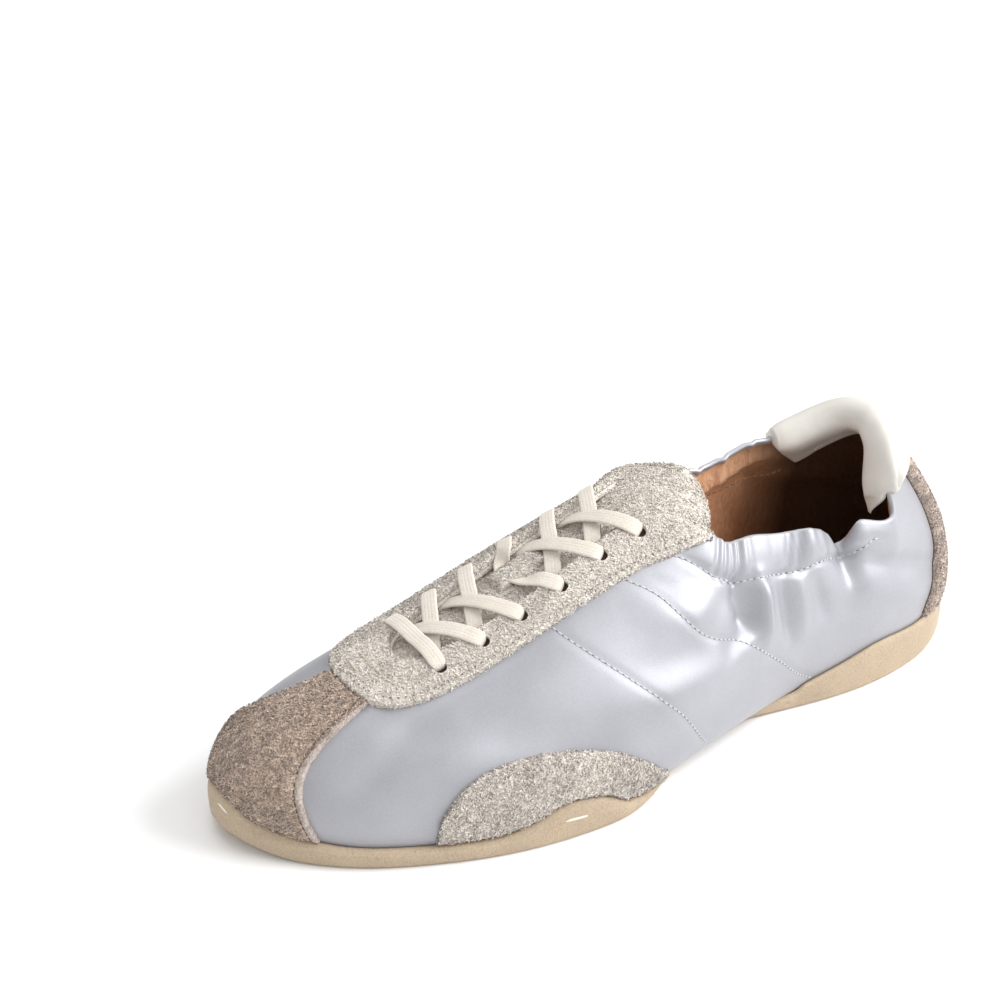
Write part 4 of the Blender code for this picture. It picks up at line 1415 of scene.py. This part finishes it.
TAB_OUTER = 5.6
TAB_MIDDLE = 4.4
TAB_CREST = 3.4
TAB_COLUMNS = 160
TAB_CELLS = 16
TAB_ROUND = 1.1
TAB_POWER = 16
TAB_LEAST = 0.4

# How far, in rows, the far end slants back down its inside, and the near end on its outside and inside.
FAR_SLANT = 0.42
NEAR_OUT_SLANT = 0.1
NEAR_IN_SLANT = 0.08
NEAR_LEAN = 6.6
NEAR_WIDEN = 4.6
FAR_END = Fade(HEEL_TAB[0].row + 0.9, -0.9)
NEAR_END = Fade(HEEL_TAB[-1].row - 0.6, 0.6)
WIDENED = Fade(0.95, 0.85)


def make_heel_tab(paints):
    """A padded fold over the back of the collar: up its outside, over the edge and down its inside."""
    rows = np.linspace(HEEL_TAB[0].row, HEEL_TAB[-1].row, TAB_COLUMNS + 1)
    ends = np.abs(2 * (rows - rows[0]) / (rows[-1] - rows[0]) - 1)
    full = np.sqrt(np.clip(1 - ends**TAB_POWER, TAB_LEAST, 1))
    far_end, near_end = faded(rows, FAR_END), faded(rows, NEAR_END)
    swell = TAB_EDGE + (PAD - TAB_EDGE) * full
    widen = NEAR_WIDEN * faded(rows, WIDENED)
    outside, inside = tab_reach(rows)
    shares = np.linspace(0, 1, TAB_CELLS + 1)
    near, far = [], []
    for share in shares:
        t = rows - NEAR_OUT_SLANT * (1 - share) * near_end
        v = climb(t, outside * (1 - share), True)
        near.append(skin(t, v, GAP))
        thick = curve_through((0.0, 0.55, 1.0), (TAB_OUTER, TAB_MIDDLE, TAB_CREST), share)
        far.append(skin(t, v, GAP + thick * full))
    middle = (skin(rows, 1.0, 0.0) + skin(rows, 1.0, -WALL)) / 2
    rise = unit(skin(rows, 1.0, 0.0) - skin(rows, 0.97, 0.0))
    out = normal(rows, 1.0)
    for angle in np.linspace(0, math.pi, TAB_CELLS + 1)[1:-1]:
        lean = out * math.cos(angle) * (WALL / 2 + GAP)
        near.append(middle + lean + rise * math.sin(angle) * 2 * GAP)
        inner = smooth_step(angle / math.pi)
        reach = WALL / 2 + GAP + TAB_CREST * full * (1 - inner) + (swell + widen) * inner
        crest = out * math.cos(angle) * reach[:, None] + rise * math.sin(angle) * (GAP + swell)[:, None]
        far.append(middle + crest)
    for share in shares[::-1]:
        t = rows + (1 - share) * (FAR_SLANT * far_end + NEAR_IN_SLANT * near_end)
        v = climb(t, inside * (1 - share), True)
        away = near_end * smooth_step(1 - share)
        near.append(skin(t, v, -WALL - GAP - NEAR_LEAN * away))
        kept = np.maximum(smooth_step(share), near_end)
        far.append(skin(t, v, -WALL - GAP - TAB_EDGE - (swell - TAB_EDGE) * kept - widen))
    far, near = np.stack(far), np.stack(near)
    fade = rounded(edge_distance(far), TAB_ROUND)[..., None]
    far = near + (far - near) * (0.3 + 0.7 * fade)
    tab = add_slab("heel_pad", far, near, [paints["tab"]], replaces=("heel_tab",))
    flap = np.linspace(HEEL_TAB[0].row + 0.6, HEEL_TAB[-1].row - 0.25, 120)
    v = climb(flap, tab_reach(flap)[1] - 2.6, True)
    line = [(skin(flap, v, -WALL - GAP - TAB_EDGE - 0.5), -normal(flap, v))]
    stitches("tab_stitches", line, TAB_THREAD, paints["cream_thread"])


def edge_level(along):
    """The t on the outer side where the throat's edge lies at a place along the shoe."""
    t = np.linspace(5.5, TOE, 200)
    return np.interp(along, station(t)["top_along"], t)


LACE_STEPS = 72
LACE_RIBS = 5
RIB_CELLS = 8
RIB_DEPTH = 0.1


def lace_profile():
    """(across, height) round a flat ribbed lace, as shares of its width and thickness."""
    x = np.linspace(-0.5, 0.5, LACE_RIBS * RIB_CELLS + 1)
    x = np.sign(x) * 0.5 * (1 - (1 - 2 * np.abs(x)) ** 1.15)
    edge = 0.12 + 0.88 * np.sqrt(np.clip(1 - np.abs(2 * x) ** 5, 0, 1))
    rib = 1 - RIB_DEPTH + RIB_DEPTH * np.abs(np.sin(math.pi * LACE_RIBS * (x + 0.5)))
    top = np.stack([x, 0.5 * edge * rib], -1)
    low = np.stack([x[::-4], -0.5 * edge[::-4]], -1)
    return np.concatenate([top, low])


def ribbon(stops):
    """A flat ribbed lace through (place, up, width) stops, as its points and faces."""
    places = np.array([p for p, _, _ in stops])
    runs = runs_along(places)
    at = np.linspace(0, runs[-1], LACE_STEPS + 1)
    line = curve_through(runs, places, at)
    up = curve_through(runs, np.array([u for _, u, _ in stops]), at)
    wide = curve_through(runs, np.array([w for _, _, w in stops]), at)
    way = unit(np.gradient(line, axis=0))
    across = unit(np.cross(way, up))
    up = np.cross(across, way)
    profile = lace_profile()
    thick = LACE_THICK * (0.85 + 0.3 * (LACE_WIDTH / wide - 1).clip(0, 1))
    points = line[:, None] + across[:, None] * profile[None, :, :1] * wide[:, None, None]
    points = points + up[:, None] * profile[None, :, 1:] * thick[:, None, None]
    count = len(profile)
    faces = [tuple(f) for f in lattice(len(at), count, wrap=True)]
    last = LACE_STEPS * count
    faces.append(tuple(range(count)))
    faces.append(tuple(last + k for k in range(count)))
    return points.reshape(-1, 3), faces


# How far along a strand crosses the throat's edge on its way to an eyelet, and where the two strands of one
# crossing slip under the suede keeper on the tongue: the place along and across, and the way they leave it.
EDGE_SHARE = 0.8
KEPT_CROSSING = 3
Slip = namedtuple("Slip", "along across to_along to_across")
KEEPER_SLIPS = (
    Slip(148.0, 0.0, 148.0, -0.25),
    Slip(150.0, 0.16, 148.0, 0.42),
)

# How a lace goes into an eyelet: shares of the way from the throat's edge, how far it dips and turns over,
# and its width.
Dive = namedtuple("Dive", "share dip tilt width")
EYELET_DIVE = (
    Dive(0.45, 0.0, 0.0, 1.0),
    Dive(0.7, 0.1, 0.15, 0.97),
    Dive(0.85, 0.45, 0.5, 0.88),
    Dive(0.91, 1.2, 0.85, 0.76),
    Dive(0.92, 2.6, 1.0, 0.64),
)


def make_laces(paints):
    """The lace's bar at the toe end, then strands from each throat edge over to the next eyelet."""
    sides = eyelets()
    rest = OVERLAY_GAP + SUEDE + LACE_CLEAR + LACE_THICK / 2 - 0.2

    def place(side, k):
        return float(wall(sides[side][0][k], sides[side][1][k])[0])

    def over_edge(side, along, offset=rest):
        t = edge_level(along)
        t = t if side == 0 else ROWS - t
        return skin(t, 1.0, offset), normal(t, 1.0)

    def between(a, b, share, lift):
        up = unit(a[1] * (1 - share) + b[1] * share)
        return a[0] * (1 - share) + b[0] * share + up * lift, up

    def into_eyelet(side, k, edge):
        t, v = sides[side][0][k], sides[side][1][k]
        end, up = skin(t, v, rest), normal(t, v)
        way = unit(end - edge)
        stops = []
        for dive in EYELET_DIVE:
            place = edge + (end - edge) * dive.share - up * dive.dip
            stops.append((place, up * (1 - dive.tilt) + way * dive.tilt, LACE_WIDTH * dive.width))
        return stops

    def bar():
        ends = [over_edge(0, place(0, 0)), over_edge(1, place(1, 0))]
        stops = into_eyelet(0, 0, ends[0][0])[::-1]
        stops += [(*between(*ends, share, 0.3), LACE_WIDTH) for share in (0.05, 0.5, 0.95)]
        return stops + into_eyelet(1, 0, ends[1][0])

    def strand(side, k, lift):
        here, start = place(side, k), place(side, k - 1)
        cross = start + (here - start) * EDGE_SHARE
        near, far = over_edge(side, cross), over_edge(1 - side, start)
        hidden = over_edge(1 - side, start, -WALL - 1.2)
        stops = [(*between(hidden, near, -0.1, 0.0), LACE_WIDTH)]
        stops.append((*between(far, near, 0.12, -3.2), LACE_WIDTH))
        stops.append((*between(far, near, 0.5, lift - 1.0), LACE_WIDTH))
        if k == KEPT_CROSSING:
            slip = KEEPER_SLIPS[side]
            shares = tongue_share(np.array(slip[::2]))
            under, clear = tongue_point(shares, np.array(slip[1::2]), np.array([-0.3, 1.5]))
            stops = [(under, UP, LACE_WIDTH), (clear, UP, LACE_WIDTH)]
        stops.append((*between(far, near, 0.95, 0.0), LACE_WIDTH))
        return stops + into_eyelet(side, k, near[0])

    routes = {"lace_bar": [bar()]}
    for k in range(1, len(EYELET_ROWS)):
        routes[f"lace_cross_{k}"] = [strand(0, k, 0.9), strand(1, k, -0.7)]
    for name, strands in routes.items():
        points, faces = [], []
        for stops in strands:
            more, quads = ribbon(stops)
            start = sum(len(p) for p in points)
            points.append(more)
            faces += [tuple(start + i for i in f) for f in quads]
        points = np.concatenate(points)
        add_piece(name + "_cotton", points, faces, [paints["lace"]], replaces=(name,))


# Threads, needle holes and dashes: how far apart, how long and thick, how flat, and where the first comes.
Thread = namedtuple("Thread", "pitch length radius flat first", defaults=(0.7, 0.5))
SEAM_THREAD = Thread(2.1, 1.3, 0.25)
SEAM_HOLES = Thread(2.1, 0.7, 0.17, 0.5, 1.0)
LINING_THREAD = Thread(2.1, 1.5, 0.26)
CAP_THREAD = Thread(1.9, 1.4, 0.26)
STRIP_SHADOW = Thread(1.1, 1.5, 0.4, 0.4)
STAY_HOLES = Thread(2.2, 0.7, 0.24, 0.25)
LOBE_THREAD = Thread(2.0, 1.4, 0.28)
TACK_THREAD = Thread(0.5, 2.2, 0.3)
TAB_THREAD = Thread(2.0, 1.4, 0.24)
STITCH_SIDES = 6
STITCH_RINGS = ((-0.5, 0.35), (-0.3, 1.0), (0.3, 1.0), (0.5, 0.35))
STITCH_REACH = 0.4


def read_along(runs, values, at):
    """Points or directions read at distances along a line."""
    return np.stack([np.interp(at, runs, values[:, k]) for k in range(3)], -1)


def stitches(name, lines, thread, finish):
    """Short threads along lines of (points, outward directions)."""
    groups = []
    for line, up in lines:
        runs = runs_along(line)
        at = np.arange(thread.pitch * thread.first, runs[-1], thread.pitch)
        centre = read_along(runs, line, at)
        way = unit(read_along(runs, line, at + STITCH_REACH) - read_along(runs, line, at - STITCH_REACH))
        side = unit(np.cross(way, read_along(runs, up, at)))
        lift = np.cross(side, way)
        rings = []
        for place, share in STITCH_RINGS:
            for k in range(STITCH_SIDES):
                angle = 2 * math.pi * k / STITCH_SIDES
                round_way = side * math.cos(angle) + lift * math.sin(angle) * thread.flat
                rings.append(centre + way * thread.length * place + round_way * thread.radius * share)
        groups.append(np.stack(rings, 1))
    points = np.concatenate(groups).reshape(-1, 3)
    per = len(STITCH_RINGS) * STITCH_SIDES
    quads = lattice(len(STITCH_RINGS), STITCH_SIDES, wrap=True)
    count = len(points) // per
    faces = [tuple(f) for f in (quads[None] + per * np.arange(count)[:, None, None]).reshape(-1, 4)]
    for g in range(count):
        faces.append(tuple(g * per + k for k in range(STITCH_SIDES)))
        faces.append(tuple(g * per + per - 1 - k for k in range(STITCH_SIDES)))
    return add_piece(name, points, faces, [finish])


# Pale moulded dashes on the sole's side, each from one (row, share of the lip) to another.
Mark = namedtuple("Mark", "name start end")
SOLE_MARKS = (
    Mark("toe_mark", (10.91, 0.55), (10.67, 0.45)),
    Mark("ball_mark", (6.52, 0.38), (6.23, 0.35)),
)


def sole_face(t, share):
    """A point of the sole's outer face, at a share of the way up its lip."""
    thick = np.maximum(station(t)["edge"], LIP_EDGE) * (1 - share) + LIP_EDGE * share
    return skin(t, lip_v(t) * share, GAP + thick)


def line_on(t, v, offset):
    return coat(t, v, offset), normal(t, v)


def make_seams(paints):
    """The seams of the satin and of the lining."""
    seams, inside = [], []
    for inner in (False, True):
        for table in (FRONT_SEAM, REAR_SEAM):
            seams.append(line_on(*seam_line(table, inner), 0.12))
        seams.append(line_on(*channel_line(inner), 0.15))
        t, v = seam_line(LINING_SEAM, inner, 160, True)
        inside.append((coat(t, v, -WALL - 0.1), -normal(t, v)))
    stitches("satin_seams", seams, SEAM_THREAD, paints["thread"])
    # Dark dashes of painted shade for the needle holes between the stitches.
    stitches("seam_needle_holes", seams, SEAM_HOLES, paints["hole_shade"])
    stitches("lining_stitches", inside, LINING_THREAD, paints["tan_thread"])


def make_panel_edges(paints):
    """The sewn edge of the toe cap and the shadows beside the heel strip."""
    grid = toe_cap_grid()
    run = runs_along(wall(*grid), 1)
    t, v = (np.array([np.interp(EDGE_SEAM, r, row) for r, row in zip(run, part)]) for part in grid)
    line = [line_on(t, v, OVERLAY_GAP + SUEDE - EDGE_SEAM_DEPTH + 0.1)]
    stitches("toe_cap_stitches", line, CAP_THREAD, paints["dark_thread"])
    share = np.linspace(0.02, 0.98, 80)
    half = strip_columns(share)[:, 1] + 0.03
    gaps = []
    for t in (half, -half):
        low, high = strip_ends(t)
        gaps.append(line_on(t, low * (1 - share) + high * share, 0.05))
    stitches("heel_strip_shadow", gaps, STRIP_SHADOW, paints["hole"])


def make_sole_marks(paints):
    share = np.linspace(0, 1, 12)
    for name, start, end in SOLE_MARKS:
        t = start[0] + (end[0] - start[0]) * share
        line = sole_face(t, start[1] + (end[1] - start[1]) * share)
        length = float(runs_along(line)[-1])
        dash = Thread(length, length, 0.4, 0.5)
        stitches(name, [(line, normal(t, 0.1))], dash, paints["mark"])


LOBE_ROWS = (9.4, 10.92, 11.9)
LOBE_DROPS = (11.0, 7.4, 8.6)
TACK_ROWS = (10.95, 11.5)
TACK_DROP = 12.0


def make_eyestay_stitching(paints):
    """Pinholes along the eyestay's edge, the stitched arc of its front lobe and a bar tack."""
    face, slot = OVERLAY_GAP + SUEDE, "cream_suede"
    t = np.linspace(EYESTAY[0].row + 0.2, EYESTAY[-1].row - 0.2, 500)
    edge = [line_on(t, climb(t, band(EYESTAY, t) - 2.6, True), face + 0.3)]
    # Dark dots of painted shade for the pinholes.
    stitches("eyestay_pinholes", edge, STAY_HOLES, paints["hole_shade"])
    lobe = np.linspace(LOBE_ROWS[0], LOBE_ROWS[-1], 60)
    arc = [line_on(lobe, climb(lobe, curve_through(LOBE_ROWS, LOBE_DROPS, lobe), True), face + 0.35)]
    stitches("lobe_stitches", arc, LOBE_THREAD, paints["cream_thread"])
    tack = np.linspace(*TACK_ROWS, 12)
    bar = [line_on(tack, climb(tack, TACK_DROP, True), face + 0.4)]
    stitches("bar_tack", bar, TACK_THREAD, paints["cream_thread"])


FLOOR_COLOUR = (0.95, 0.95, 0.95)
AIM = (0.0, 0.0, 0.04)
Light = namedtuple("Light", "name place size power")
LIGHTS = (
    Light("key_light", (0.76, -0.5, 0.74), 0.9, 14.5),
    Light("fill_light", (-0.4, -0.95, 0.42), 1.0, 2.0),
    Light("top_light", (-0.1, 0.5, 1.1), 0.8, 2.6),
)
Sky = namedtuple("Sky", "height light")
SKY = (
    Sky(0.0, 0.3),
    Sky(0.2, 0.36),
    Sky(0.55, 0.7),
    Sky(1.0, 0.88),
)
CAMERA_PLACE = (-401.918, -581.742, 465.288)
CAMERA_TURN = -31.89
CAMERA_BACK = (-0.46382976, -0.74546365, 0.47869186)
CAMERA_LENS = 99.0
CAMERA_SENSOR = 36.0


def make_stage():
    """A pale floor, soft lights and the camera at the photograph's angle."""
    mesh = bpy.data.meshes.new("floor")
    far = 4.0
    mesh.from_pydata([(-far, -far, 0), (far, -far, 0), (far, far, 0), (-far, far, 0)], [], [(0, 1, 2, 3)])
    floor = put("floor", mesh)
    mesh.materials.append(Paint("pale_floor", FLOOR_COLOUR, 0.9, Specular_IOR_Level=0.1).made)

    world = bpy.data.worlds.new("studio")
    world.use_nodes = True
    nodes, links = world.node_tree.nodes, world.node_tree.links
    split = nodes.new("ShaderNodeSeparateXYZ")
    links.new(nodes.new("ShaderNodeTexCoord").outputs["Generated"], split.inputs["Vector"])
    ramp = nodes.new("ShaderNodeValToRGB")
    links.new(split.outputs["Z"], ramp.inputs["Fac"])
    set_stops(ramp.color_ramp, [(sky.height, (sky.light,) * 3) for sky in SKY])
    links.new(ramp.outputs["Color"], nodes["Background"].inputs["Color"])
    nodes["Background"].inputs["Strength"].default_value = 1.0
    bpy.context.scene.world = world
    bpy.context.scene.view_settings.view_transform = "Standard"

    for name, place, size, power in LIGHTS:
        data = bpy.data.lights.new(name, "AREA")
        data.shape = "DISK"
        data.size = size
        data.energy = power
        lamp = put(name, data)
        lamp.location = place
        lamp.rotation_euler = (Vector(place) - Vector(AIM)).to_track_quat("Z", "Y").to_euler()

    turn = math.radians(CAMERA_TURN)
    right = Vector((math.cos(turn), math.sin(turn), 0.0))
    back = Vector(CAMERA_BACK)
    up = back.cross(right)
    frame = Matrix((right, up, back)).transposed().to_4x4()
    data = bpy.data.cameras.new("camera")
    data.sensor_width = CAMERA_SENSOR
    data.lens = CAMERA_LENS
    data.clip_start = 0.01
    camera = put("camera", data)
    camera.matrix_world = Matrix.Translation(Vector(CAMERA_PLACE) * MM) @ frame
    bpy.context.scene.camera = camera


def main():
    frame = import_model()
    paints = make_paints()
    make_upper(paints)
    make_outsole(paints)
    make_overlays(paints)
    make_eyelet_shadows(paints)
    make_tongue(paints)
    make_heel_tab(paints)
    make_laces(paints)
    make_seams(paints)
    make_panel_edges(paints)
    make_sole_marks(paints)
    make_eyestay_stitching(paints)
    # The insole takes the lining's finish, including its painted shade towards the heel.
    insole = frame["nodes"]["insole"]
    insole.data.materials.clear()
    insole.data.materials.append(paints["lining"])
    make_stage()


main()
